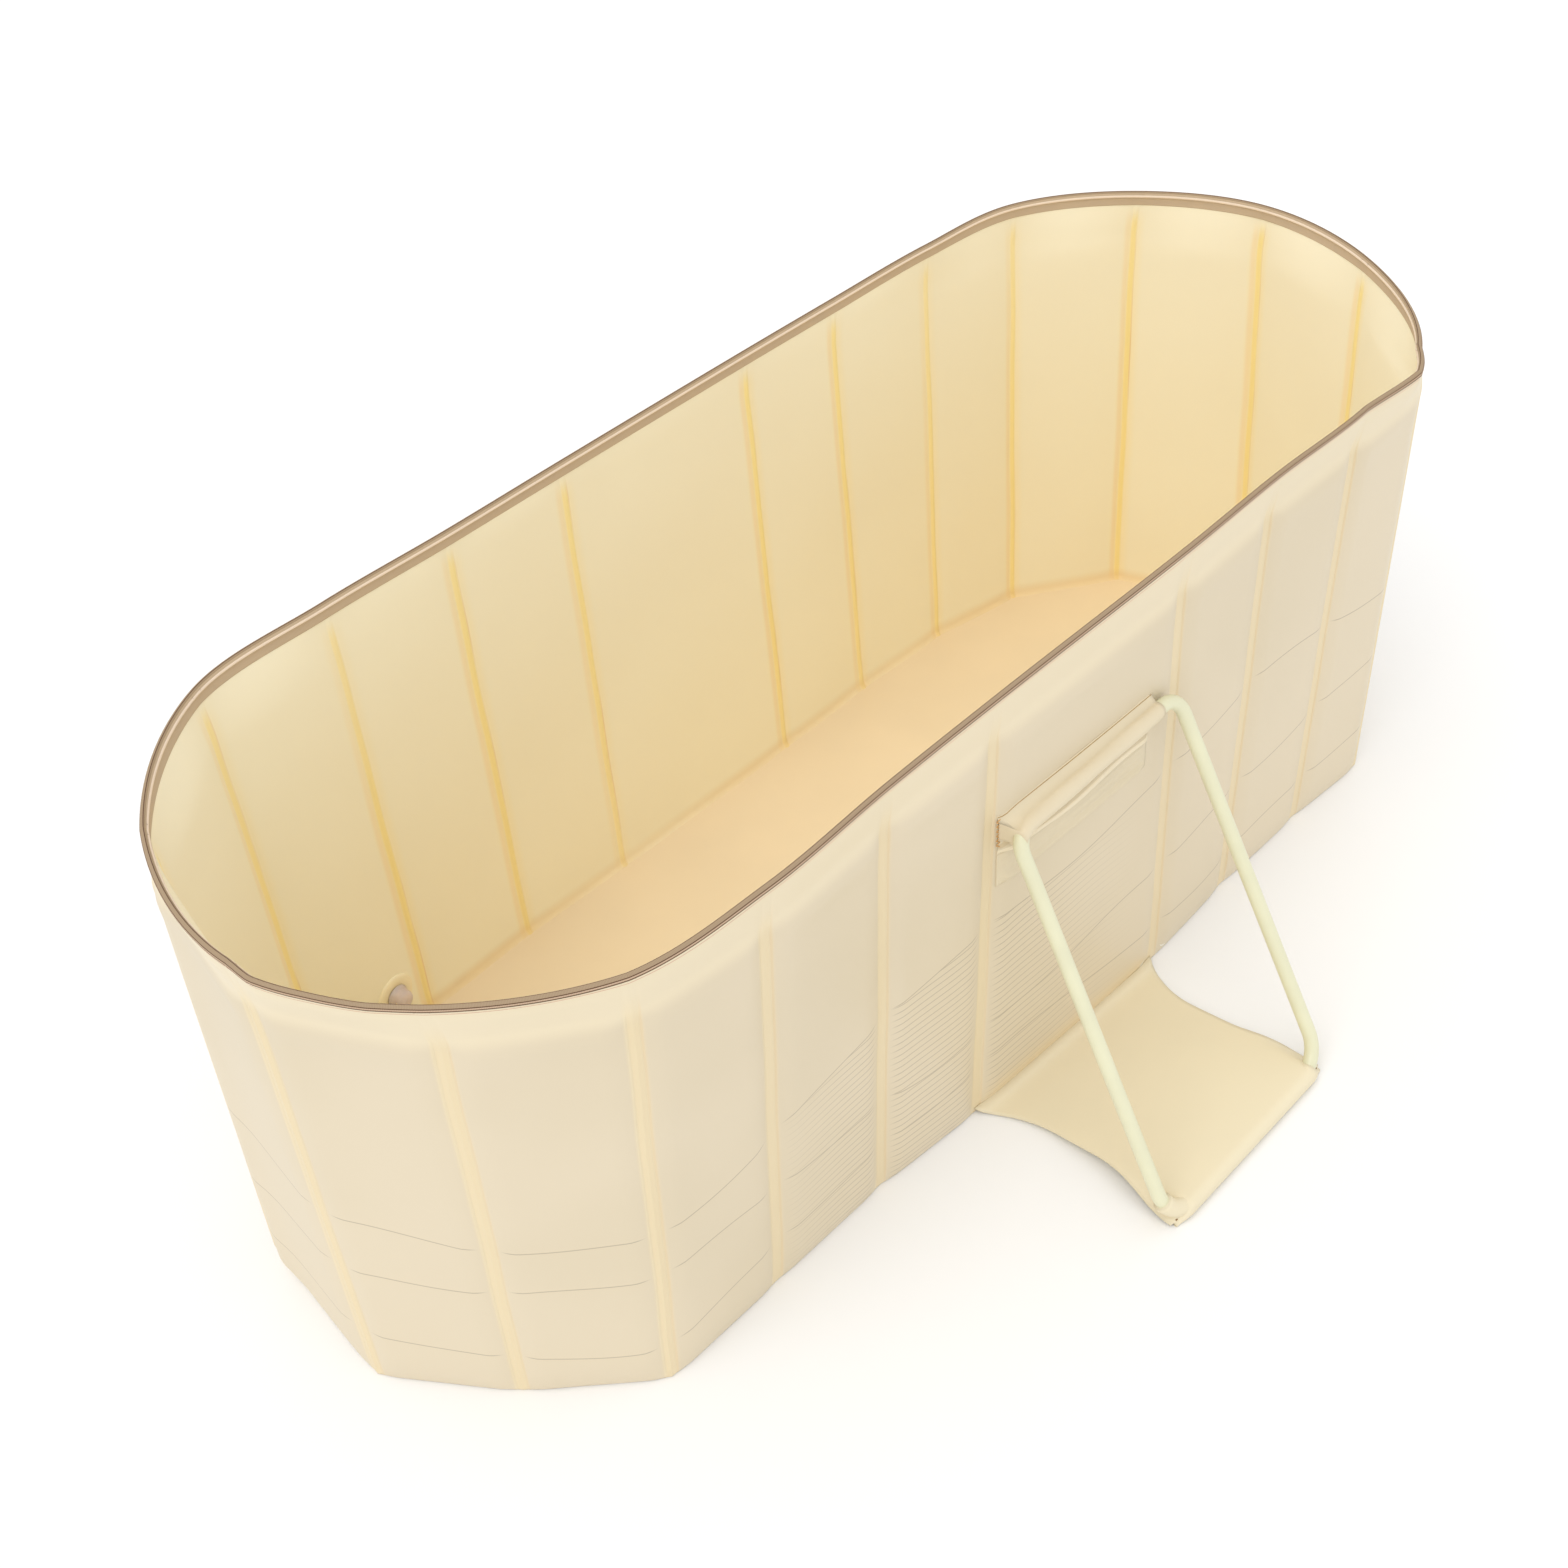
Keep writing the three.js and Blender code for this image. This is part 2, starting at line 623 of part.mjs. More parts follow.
// Flap on the floor, drawn in at both sides, from the wall's foot to the hem.
function flapGeometry() {
  const wallEdge = -(halfWidth + foldClearance + pocketThickness + restGap);
  const hemEdge = -(footAxisOut - hemRadius - restGap);
  const waist = wallEdge - flapWaistOut;
  const side = new THREE.QuadraticBezierCurve(
    new THREE.Vector2(flapWallHalf, wallEdge),
    new THREE.Vector2(flapWaistHalf, (wallEdge + waist) / 2),
    new THREE.Vector2(flapWaistHalf, waist),
  ).getPoints(flapCurveSteps);
  side.push(new THREE.Vector2(flapHemHalf, hemEdge));
  const other = side.map((point) => new THREE.Vector2(-point.x, point.y)).reverse();
  const shape = new THREE.Shape([...side, ...other]);
  return new THREE.ExtrudeGeometry(shape, { depth: flapFilm, bevelEnabled: false });
}

// Hem: a film tube round the foot tube, flat where it rests on the floor.
function hemGeometry() {
  const circle = (radius) => {
    const points = [];
    for (let step = 0; step < tubeSides; step++) {
      const angle = ((step + 0.5) / tubeSides) * 2 * Math.PI;
      const reach = radius / Math.cos(Math.PI / tubeSides);
      points.push(
        new THREE.Vector2(-footAxisOut + reach * Math.sin(angle), hemRadius + reach * Math.cos(angle)),
      );
    }
    return points;
  };
  const outside = acrossWall(circle(hemRadius), hemHalfLength);
  return cut(outside, [acrossWall(circle(tubeRadius + sleeveClearance), hemHalfLength + overrun)]);
}

for (const wall of ["near", "far"]) {
  const stand = new THREE.Group();
  if (wall === "far") stand.rotation.z = Math.PI;
  addPiece(wall + "_stand_loop", standLoop(), paintedSteel, stand);
  addPiece(wall + "_stand_sleeve", sleeveGeometry(), film, stand);
  addPiece(wall + "_stand_hem", hemGeometry(), flapCloth, stand);
  addPiece(wall + "_stand_flap", flapGeometry(), flapCloth, stand);
  tub.add(stand);
}

export default tub;
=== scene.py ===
"""Looks of the foldable bathtub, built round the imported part. Metres, +Z up, the origin on the floor."""

import math

import bmesh
import bpy
import numpy as np
from mathutils import Matrix, Vector


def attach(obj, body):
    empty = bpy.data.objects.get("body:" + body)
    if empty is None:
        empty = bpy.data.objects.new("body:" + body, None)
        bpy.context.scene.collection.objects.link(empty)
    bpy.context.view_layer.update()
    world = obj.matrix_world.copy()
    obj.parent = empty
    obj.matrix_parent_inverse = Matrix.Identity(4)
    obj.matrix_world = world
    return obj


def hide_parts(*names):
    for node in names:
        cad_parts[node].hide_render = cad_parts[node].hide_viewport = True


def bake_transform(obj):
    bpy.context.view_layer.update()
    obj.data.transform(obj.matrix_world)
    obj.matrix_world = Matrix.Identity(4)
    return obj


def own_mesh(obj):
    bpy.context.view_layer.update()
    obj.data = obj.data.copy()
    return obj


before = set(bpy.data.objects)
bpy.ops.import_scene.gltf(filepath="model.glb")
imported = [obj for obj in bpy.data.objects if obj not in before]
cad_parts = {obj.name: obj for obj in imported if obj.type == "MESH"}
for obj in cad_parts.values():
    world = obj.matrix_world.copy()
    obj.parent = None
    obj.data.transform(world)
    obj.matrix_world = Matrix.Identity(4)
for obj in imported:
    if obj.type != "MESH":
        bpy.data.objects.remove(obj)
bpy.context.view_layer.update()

# Sizes of the tub, as in the part.
TUB_HEIGHT = 0.550
BOARD_TOP = 0.497
HALF_WIDTH = 0.264
WALL_SEAMS = [(0.129, HALF_WIDTH), (0.267, HALF_WIDTH), (0.405, HALF_WIDTH)]
SHOULDER_SEAM = (0.542113, 0.248378)
END_SEAM = (0.655835, 0.144535)
TIP = (0.709014, 0.0)

# The ring's seams, counter-clockwise seen from above, from the left tip along the near wall.
quarter = [*WALL_SEAMS, SHOULDER_SEAM, END_SEAM]
SEAMS = np.array(
    [
        (-TIP[0], 0.0),
        *[(-x, -y) for x, y in reversed(quarter)],
        *[(x, -y) for x, y in quarter],
        TIP,
        *[(x, y) for x, y in reversed(quarter)],
        *[(-x, y) for x, y in quarter],
    ]
)
PANELS = len(SEAMS)
BODY_PANELS = {
    "left_end_near": (0, 1),
    "left_shoulder_near": (1, 2),
    "near_wall": (2, 9),
    "right_shoulder_near": (9, 10),
    "right_end_near": (10, 11),
    "right_end_far": (11, 12),
    "right_shoulder_far": (12, 13),
    "far_wall": (13, 20),
    "left_shoulder_far": (20, 21),
    "left_end_far": (21, 22),
}
HINGE_SEAMS = {
    0: ("left_tip", "left_end_far", "left_end_near"),
    1: ("left_near_end", "left_end_near", "left_shoulder_near"),
    2: ("left_near_shoulder", "left_shoulder_near", "near_wall"),
    9: ("right_near_shoulder", "near_wall", "right_shoulder_near"),
    10: ("right_near_end", "right_shoulder_near", "right_end_near"),
    11: ("right_tip", "right_end_near", "right_end_far"),
    12: ("right_far_end", "right_end_far", "right_shoulder_far"),
    21: ("left_far_end", "left_shoulder_far", "left_end_far"),
}
OPEN_SEAMS = {13: ("right_far_shoulder", "far_wall"), 20: ("left_far_shoulder", "far_wall")}
WIDE_PANEL = {"near": 5, "far": 16}
DRAIN_PANEL = 19

# In use the soft ring isn't a perfect oval. How far each seam stands from its place in the part, in
# millimetres, at the foot, at the boards' top and at the rim.
FOOT_SHIFT = np.array([
    (-10, -27), (12, 4), (-5, 15), (-6, 28), (1, 26), (-8, 12), (12, -2), (12, 5),
    (14, 3), (-6, -21), (0, -4), (0, 2), (-1, 7), (0, -16), (18, -6), (20, 0),
    (20, 1), (14, 7), (12, 13), (8, 12), (-2, 8), (-40, -12),
]) / 1000
BOARD_SHIFT = np.array([
    (-8, -15), (6, -13), (3, 0), (-8, -1), (0, 3), (-1, 0), (7, -5), (13, -2),
    (17, -6), (10, -20), (4, 10), (-15, 12), (-15, 1), (-5, -13), (5, -8), (-6, -5),
    (2, -1), (9, 4), (3, 6), (2, 9), (-6, 16), (-22, 12),
]) / 1000
RIM_SHIFT = np.array([
    (-13, -13), (-4, -16), (0, -6), (-6, -7), (0, -5), (0, -6), (8, -11), (12, -11),
    (15, -16), (2, -14), (4, 10), (-17, 10), (-17, -5), (-7, -16), (4, -12), (-4, -6),
    (2, -2), (8, 3), (3, 5), (2, 10), (-8, 18), (-22, 13),
]) / 1000

# How much of a corner the rim makes at some of the seams: 0 is a smooth curve.
RIM_CORNER = np.zeros(PANELS)
RIM_CORNER[[1, 2, 21, 8]] = (0.35, 0.30, 0.20, 0.30)
# Panels whose rim stands out of that curve, with a corner of its own: shares along the panel, and metres.
RIM_BULGE = {
    0: ((0, 0.05, 0.10, 0.16, 0.46, 0.74, 1), (0, 0.0010, 0.0026, 0.0044, 0.0026, 0.0032, 0)),
    8: ((0, 0.65, 0.80, 0.90, 1), (0, 0.0115, 0.0070, 0.0034, 0)),
}
# Half the share of a panel over which a bulge's slope is taken.
BULGE_STEP = 0.03

# From this height up the flat panels bend into the rim's curve.
SOFT_FROM = 0.475
MITRE_WIDTH = 0.009
# How far a seam strays sideways, the width of film that goes with it, and the height by which it has started.
SEAM_WANDER, WANDER_WIDTH, WANDER_FROM = 0.0005, 0.03, 0.06

# The outer film, outwards from the fold line: on the welds, over the boards, and in the band above them.
WELD_FACE, OUTER_FACE, OUTER_CROWN, BAND_FACE = 0.0022, 0.0076, 0.0012, 0.0034
SEAM_HALF = 0.0055
# Beside a seam the film rises in a short round edge, which has this share of the rise, and in a long slope.
EDGE_SHARE, EDGE_WIDTH = 0.35, 0.010
SLOPE_FROM, SLOPE_WIDTH = 0.002, 0.024
FOOT_FLAT, FOOT_SWELL = 0.030, 0.35
FOOT_ROUND, FOOT_FACE = 0.004, 0.4
SHOULDER_FROM, SHOULDER_TO = 0.484, 0.519
BASE_FROM, BASE_RISE = 0.485, 0.03
BAND_FROM, BAND_SOFT, BAND_SWELL = 0.505, 0.012, 0.0012
ROLL_HEIGHT, ROLL_WIDTH, ROLL_RISE = 0.480, 0.012, 0.0016
FILM_TOP, TOP_CLEAR = 0.5446, 0.003
UNEVEN = 0.00022
# The inner film: its face, its pillows, the bead and groove of each seam, and the cove at the floor.
INNER_FACE, INNER_PILLOW, PILLOW_EDGE = -0.0004, 0.0013, 0.35
INNER_BEAD, BEAD_WIDTH = 0.0012, 0.0021
INNER_GROOVE, GROOVE_AT, GROOVE_WIDTH = 0.0002, 0.0048, 0.0016
INNER_CALM = 0.03
COVE_OUT, COVE_HIGH = 0.006, 0.010
# Round this seam the outer film stands further off the inner one.
THICK_SEAM, THICK_RISE, THICK_WIDTH = 21, 0.008, 0.035


def smooth(x):
    x = np.clip(x, 0.0, 1.0)
    return x * x * (3 - 2 * x)


def rounded(x):
    return np.sqrt(1 - (1 - np.clip(x, 0.0, 1.0)) ** 2)


def bell(x):
    """1 at 0, and falling off to both sides."""
    return np.exp(-(x**2))


def unit(v):
    return v / np.maximum(np.linalg.norm(v, axis=-1, keepdims=True), 1e-12)


def seam_at(i, z):
    """Plan points of seams i at heights z."""
    i = i % PANELS
    low = np.clip(z / BOARD_TOP, 0, 1)[:, None]
    high = np.clip((z - BOARD_TOP) / (TUB_HEIGHT - BOARD_TOP), 0, 1)[:, None]
    return SEAMS[i] + FOOT_SHIFT[i] * (1 - low) + BOARD_SHIFT[i] * (low - high) + RIM_SHIFT[i] * high


def wander(i, z):
    """How far seam i strays sideways at heights z."""
    i = i % PANELS
    waves = np.sin(21 * z + 2.1 * i) + 0.5 * np.sin(47 * z + 3.7 * i)
    return SEAM_WANDER * waves * smooth(z / WANDER_FROM)


def ring_plan(panel, share, z):
    """Plan points on the fold line and their outward directions, for arrays of the same length."""
    panel = np.asarray(panel) % PANELS
    share = np.asarray(share, float)[:, None]
    z = np.asarray(z, float)
    before, start, end, after = (seam_at(panel + k, z) for k in (-1, 0, 1, 2))
    chord = end - start
    length = np.linalg.norm(chord, axis=1, keepdims=True)
    straight = start + share * chord
    # The soft rim runs in a smooth curve through the seams.
    corner_in, corner_out = RIM_CORNER[panel][:, None], RIM_CORNER[(panel + 1) % PANELS][:, None]
    tangent_in = unit(unit(start - before) * (1 - corner_in) + unit(chord)) * length
    tangent_out = unit(unit(chord) + unit(after - end) * (1 - corner_out)) * length
    s2, s3 = share**2, share**3
    curve = (
        (2 * s3 - 3 * s2 + 1) * start
        + (s3 - 2 * s2 + share) * tangent_in
        + (-2 * s3 + 3 * s2) * end
        + (s3 - s2) * tangent_out
    )
    slope = (
        (6 * s2 - 6 * share) * start
        + (3 * s2 - 4 * share + 1) * tangent_in
        + (-6 * s2 + 6 * share) * end
        + (3 * s2 - 2 * share) * tangent_out
    )
    side = unit(chord)[:, ::-1] * (1, -1)
    for bulging, (shares, heights) in RIM_BULGE.items():
        here = (panel == bulging)[:, None]
        steps = (-BULGE_STEP, 0, BULGE_STEP)
        low, middle, high = (np.interp(share + step, shares, heights) for step in steps)
        curve = curve + side * middle * here
        slope = slope + side * (high - low) / (2 * BULGE_STEP) * here
    soft = smooth((z - SOFT_FROM) / (TUB_HEIGHT - SOFT_FROM))[:, None]
    point = straight * (1 - soft) + curve * soft
    direction = unit(chord) * (1 - soft) + unit(slope) * soft
    # Near a seam the direction turns towards the next panel's, so that the film is mitred there.
    turn = 0.5 * (1 - smooth(share * length / MITRE_WIDTH)) * (1 - soft)
    direction = direction * (1 - turn) + unit(start - before) * turn
    turn = 0.5 * (1 - smooth((1 - share) * length / MITRE_WIDTH)) * (1 - soft)
    direction = unit(direction * (1 - turn) + unit(after - end) * turn)
    stray = wander(panel, z)[:, None] * (1 - smooth(share * length / WANDER_WIDTH))
    stray = stray + wander(panel + 1, z)[:, None] * (1 - smooth((1 - share) * length / WANDER_WIDTH))
    point = point + direction * stray * (1 - soft)
    return point, np.column_stack([direction[:, 1], -direction[:, 0]])


def undulation(reach, z):
    """A slow, slight rise and fall of the film."""
    waves = np.sin(23 * reach + 9 * z + 0.4) + np.sin(41 * reach - 17 * z + 2.2)
    return UNEVEN * (waves + np.sin(13 * reach + 31 * z + 4.0))


def film_offset(distance, share, z, face, reach):
    """How far outwards of the fold line the film is: the outer one where face is above 0, else the inner."""
    side = EDGE_SHARE * rounded((distance - SEAM_HALF) / EDGE_WIDTH)
    side = side + (1 - EDGE_SHARE) * smooth((distance - SLOPE_FROM) / SLOPE_WIDTH)
    crown = 1 - (2 * share - 1) ** 2
    shoulder = smooth((SHOULDER_TO - z) / (SHOULDER_TO - SHOULDER_FROM))
    band = BAND_SWELL * smooth((z - BAND_FROM) / BAND_SOFT) * smooth((FILM_TOP - TOP_CLEAR - z) / BAND_SOFT)
    base = WELD_FACE + (BAND_FACE - WELD_FACE) * smooth((z - BASE_FROM) / BASE_RISE)
    swell = side * shoulder * (OUTER_FACE - base + OUTER_CROWN * crown)
    # Close to the floor the film is flat from seam to seam.
    swell = swell * (FOOT_SWELL + (1 - FOOT_SWELL) * smooth(z / FOOT_FLAT))
    roll = ROLL_RISE * bell((z - ROLL_HEIGHT) / ROLL_WIDTH) * side
    foot = FOOT_FACE + (1 - FOOT_FACE) * rounded(z / FOOT_ROUND)
    outer = (base + swell + roll + band * side) * foot + undulation(reach, z) * side
    thick = THICK_RISE * bell((reach - seam_reach[THICK_SEAM]) / THICK_WIDTH)
    outer = outer + thick * shoulder * smooth(z / FOOT_FLAT)
    bead = INNER_BEAD * bell(distance / BEAD_WIDTH)
    bead = bead - INNER_GROOVE * bell((distance - GROOVE_AT) / GROOVE_WIDTH)
    calm = smooth((FILM_TOP - z) / INNER_CALM)
    cove = COVE_OUT * (1 - np.clip(z / COVE_HIGH, 0, 1)) ** 2
    pillow = INNER_PILLOW * side * (PILLOW_EDGE + (1 - PILLOW_EDGE) * crown)
    inner = INNER_FACE - pillow * calm - bead * calm - cove
    # The inner film rises and falls at other places than the outer one.
    inner = inner - undulation(reach + 5, z) * side * calm
    return np.where(face > 0, outer, inner)


# Columns of points from a seam into its panel, in millimetres, and the widest step between the others.
SEAM_STEPS = [0, 0.6, 1.2, 1.8, 2.6, 3.6, 4.6, 5.5, 6.2, 7.2, 8.6, 10.4, 12.6, 15.4, 18.6, 23, 28]
COLUMN_STEP = 0.014


def panel_shares(length):
    """Shares across a panel, close together by the seams."""
    edge = np.array(SEAM_STEPS) / 1000 / length
    middle = np.linspace(edge[-1], 1 - edge[-1], max(5, int(length / COLUMN_STEP)))[1:-1]
    return np.concatenate([edge, middle, (1 - edge)[::-1]])


# All columns of the ring, and how far along the foot each one is.
panel_length = np.linalg.norm(np.roll(SEAMS, -1, axis=0) - SEAMS, axis=1)
seam_reach = np.concatenate([[0.0], np.cumsum(panel_length)[:-1]])
RING_LENGTH = float(panel_length.sum())
column_panel = np.concatenate([[i] * (len(panel_shares(panel_length[i])) - 1) for i in range(PANELS)])
column_share = np.concatenate([panel_shares(panel_length[i])[:-1] for i in range(PANELS)])
column_reach = seam_reach[column_panel] + column_share * panel_length[column_panel]
column_distance = np.minimum(column_share, 1 - column_share) * panel_length[column_panel]
COLUMNS = len(column_panel)


def ring_surface(profile_z, offset_of):
    """Points and normals of a closed profile swept round the ring, as arrays (column, row, 3)."""
    rows = len(profile_z)
    panel = np.repeat(column_panel, rows)
    share = np.repeat(column_share, rows)
    distance = np.repeat(column_distance, rows)
    reach = np.repeat(column_reach, rows)
    z = np.tile(profile_z, COLUMNS)
    row = np.tile(np.arange(rows), COLUMNS)
    plan, outward = ring_plan(panel, share, z)
    offset = offset_of(distance, share, z, row, reach)
    points = np.column_stack([plan + outward * offset[:, None], z]).reshape(COLUMNS, rows, 3)
    along = np.roll(points, -1, axis=0) - np.roll(points, 1, axis=0)
    up = np.roll(points, -1, axis=1) - np.roll(points, 1, axis=1)
    return points, unit(np.cross(along, up))


def column_range(start, end):
    """Columns from one reach to another, going round past the start if need be."""
    low = int(np.argmin(np.abs(column_reach - start % RING_LENGTH)))
    high = int(np.argmin(np.abs(column_reach - end % RING_LENGTH)))
    if high <= low:
        high += COLUMNS
    return np.arange(low, high + 1)


def new_object(name, verts, faces, materials, smooth_shading=True):
    mesh = bpy.data.meshes.new(name)
    mesh.from_pydata([tuple(v) for v in verts], [], faces)
    mesh.update()
    for polygon in mesh.polygons:
        polygon.use_smooth = smooth_shading
    obj = bpy.data.objects.new(name, mesh)
    bpy.context.scene.collection.objects.link(obj)
    for m in materials if isinstance(materials, (list, tuple)) else [materials]:
        mesh.materials.append(m)
    return obj


def strip_faces(rows, count, loop=False, ring=False):
    """Four-sided faces between rows of count points; the rows (loop) or each row (ring) may close."""
    faces = []
    for i in range(rows if loop else rows - 1):
        for k in range(count if ring else count - 1):
            j, m = (i + 1) % rows, (k + 1) % count
            faces.append((i * count + k, i * count + m, j * count + m, j * count + k))
    return faces


def grid_object(name, rows, material, loop=False, ring=False):
    """A surface through rows of points, with its two ends closed where the rows are rings in a line."""
    count = len(rows[0])
    verts = [point for row in rows for point in row]
    faces = strip_faces(len(rows), count, loop, ring)
    if ring and not loop:
        faces.append(tuple(range(count))[::-1])
        faces.append(tuple((len(rows) - 1) * count + k for k in range(count)))
    return new_object(name, verts, faces, material)


def merge_points(obj, distance):
    """Joins points that lie in one place, and turns all faces outwards."""
    work = bmesh.new()
    work.from_mesh(obj.data)
    bmesh.ops.remove_doubles(work, verts=work.verts, dist=distance)
    bmesh.ops.recalc_face_normals(work, faces=work.faces)
    work.to_mesh(obj.data)
    work.free()


def add_thickness(obj, thickness):
    solidify = obj.modifiers.new("thickness", "SOLIDIFY")
    solidify.thickness = thickness
    solidify.offset = -1
    return solidify


def ring_piece(name, surface, columns, materials, row_z, face_material):
    """One length of the ring's surface as a closed piece, with its own normals and its place marked."""
    points, normals = surface
    rows = points.shape[1]
    count = len(columns)
    cols = columns % COLUMNS
    verts = points[cols].reshape(-1, 3)
    faces = [(a, d, c, b) for a, b, c, d in strip_faces(count, rows, ring=True)]
    swept = len(faces)
    # The ends are closed by faces from the outer rows to the inner rows at the same height.
    last = (count - 1) * rows
    for r in range(rows // 2 - 1):
        s = rows - 1 - r
        faces.append((r, r + 1, s - 1, s))
        faces.append((last + s, last + s - 1, last + r + 1, last + r))
    obj = new_object(name, verts, faces, materials)
    mesh = obj.data
    for k, polygon in enumerate(mesh.polygons):
        if k < swept:
            polygon.material_index = face_material[k % rows]
        else:
            polygon.use_smooth = False
    mesh.normals_split_custom_set_from_vertices([tuple(n) for n in normals[cols].reshape(-1, 3)])
    values = np.zeros((count, rows, 3), np.float32)
    values[:, :, 0] = (column_reach[cols] + np.where(columns >= COLUMNS, RING_LENGTH, 0))[:, None]
    values[:, :, 1] = row_z[None, :]
    values[:, :, 2] = column_distance[cols][:, None]
    mesh.attributes.new("ring_place", "FLOAT_VECTOR", "POINT").data.foreach_set("vector", values.ravel())
    flank = np.repeat(np.sign(0.5 - column_share[cols]) * (column_distance[cols] > 0), rows)
    mesh.attributes.new("seam_flank", "FLOAT", "POINT").data.foreach_set("value", flank.astype(np.float32))
    return obj


# Materials.
class Shader:
    """A material with short calls for its nodes."""

    def __init__(self, name, roughness=0.5, specular=0.4, colour=None):
        self.material = bpy.data.materials.new(name)
        self.material.use_nodes = True
        self.tree = self.material.node_tree
        self.tree.nodes.clear()
        self.out = self.add("ShaderNodeOutputMaterial")
        self.surface = self.add("ShaderNodeBsdfPrincipled")
        self.surface.inputs["Roughness"].default_value = roughness
        self.surface.inputs["Specular IOR Level"].default_value = specular
        if colour:
            self.surface.inputs["Base Color"].default_value = colour
        self.link(self.surface.outputs[0], self.out.inputs[0])

    def add(self, kind, **settings):
        node = self.tree.nodes.new(kind)
        for key, value in settings.items():
            setattr(node, key, value)
        return node

    def link(self, a, b):
        self.tree.links.new(a, b)

    def put(self, socket, value):
        if isinstance(value, bpy.types.NodeSocket):
            self.link(value, socket)
        else:
            socket.default_value = value

    def math(self, operation, *values):
        node = self.add("ShaderNodeMath", operation=operation)
        for socket, value in zip(node.inputs, values):
            self.put(socket, value)
        return node.outputs[0]

    def fold(self, operation, values):
        """The values joined one after another by an operation."""
        result = values[0]
        for value in values[1:]:
            result = self.math(operation, result, value)
        return result

    def times(self, *values):
        return self.fold("MULTIPLY", values)

    def plus(self, *values):
        return self.fold("ADD", values)

    def near(self, value, centre, far, close):
        """1 where value is closer to centre than close, and 0 where it is further off than far."""
        return self.ramp(self.math("ABSOLUTE", self.math("SUBTRACT", value, centre)), far, close)

    def mix(self, share, a, b):
        node = self.add("ShaderNodeMix", data_type="RGBA")
        for socket, value in zip((node.inputs[0], node.inputs[6], node.inputs[7]), (share, a, b)):
            self.put(socket, value)
        return node.outputs[2]

    def ramp(self, value, low, high):
        """A smooth 0 to 1 as value goes from low to high; low may be the greater."""
        node = self.add("ShaderNodeMapRange", interpolation_type="SMOOTHSTEP")
        self.put(node.inputs["Value"], value)
        node.inputs["From Min"].default_value = low
        node.inputs["From Max"].default_value = high
        return node.outputs[0]

    def noise(self, scale, detail=2.0, stretch=(1, 1, 1), roughness=0.5):
        coordinates = self.add("ShaderNodeTexCoord")
        mapping = self.add("ShaderNodeMapping")
        mapping.inputs["Scale"].default_value = stretch
        self.link(coordinates.outputs["Object"], mapping.inputs[0])
        node = self.add("ShaderNodeTexNoise")
        node.inputs["Scale"].default_value = scale
        node.inputs["Detail"].default_value = detail
        node.inputs["Roughness"].default_value = roughness
        self.link(mapping.outputs[0], node.inputs["Vector"])
        return node.outputs[0]

    def place(self):
        """Reach along the ring, height, and distance from the nearest seam."""
        attribute = self.add("ShaderNodeAttribute", attribute_name="ring_place")
        split = self.add("ShaderNodeSeparateXYZ")
        self.link(attribute.outputs["Vector"], split.inputs[0])
        return split.outputs[0], split.outputs[1], split.outputs[2]

    def flank(self):
        return self.add("ShaderNodeAttribute", attribute_name="seam_flank").outputs["Fac"]

    def wave(self, reach, turns, phase, height):
        """height times a sine that closes on itself after one round of the ring."""
        angle = self.math("MULTIPLY_ADD", reach, 2 * math.pi * turns / RING_LENGTH, phase)
        return self.math("MULTIPLY", self.math("SINE", angle), height)

    def colour(self, value):
        self.put(self.surface.inputs["Base Color"], value)

    def bump(self, height, strength, distance):
        node = self.add("ShaderNodeBump")
        node.inputs["Strength"].default_value = strength
        node.inputs["Distance"].default_value = distance
        self.put(node.inputs["Height"], height)
        self.link(node.outputs[0], self.surface.inputs["Normal"])


def srgb(r, g, b):
    def lin(c):
        c /= 255
        return c / 12.92 if c <= 0.04045 else ((c + 0.055) / 1.055) ** 2.4

    return (lin(r), lin(g), lin(b), 1.0)


# The print: level lines that wander round the tub, each with its height and waves of (turns, phase, height),
# and fine ripples on the near side below the highest line.
PRINT_LINES = [
    (0.150, [(3, 0.6, 0.018), (7, 2.1, 0.006), (19, 1.0, 0.0022)]),
    (0.068, [(4, 2.9, 0.010), (9, 0.4, 0.005), (17, 2.4, 0.0018)]),
    (0.255, [(2, 4.0, 0.030), (6, 1.2, 0.010), (15, 0.3, 0.0025)]),
]
LINE_HALF, LINE_EDGE = 0.0006, 0.0004
RIPPLE_WAVES, RIPPLE_PITCH = [(11, 0.5, 0.003), (29, 2.0, 0.0008)], 0.0088
# How far along the ring the ripples fade in and out, and how near a seam the print starts.
RIPPLES_IN, RIPPLES_OUT, PRINT_CLEAR = (0.42, 0.56), (0.96, 0.74), (0.008, 0.020)


def above_line(s, reach, z, height, waves):
    """How far z is above a level line that rises and falls round the tub."""
    curve = s.plus(*[s.wave(reach, *wave) for wave in waves])
    return s.math("SUBTRACT", s.math("SUBTRACT", z, height), curve)


def print_ink(s, reach, z, distance):
    """How much ink is on the film."""
    heights = [above_line(s, reach, z, *line) for line in PRINT_LINES]
    ripple = s.plus(z, *[s.wave(reach, *wave) for wave in RIPPLE_WAVES])
    fraction = s.math("FRACT", s.math("MULTIPLY", ripple, 1 / RIPPLE_PITCH))
    thread = s.near(fraction, 0.5, 0.085, 0.03)
    field = s.times(s.ramp(reach, *RIPPLES_IN), s.ramp(reach, *RIPPLES_OUT))
    ink = s.times(thread, field, s.ramp(heights[-1], LINE_EDGE, -LINE_EDGE))
    for height in heights:
        ink = s.math("MAXIMUM", ink, s.ramp(s.math("ABSOLUTE", height), LINE_HALF * 1.5, LINE_HALF * 0.5))
    return s.times(ink, s.ramp(distance, *PRINT_CLEAR))


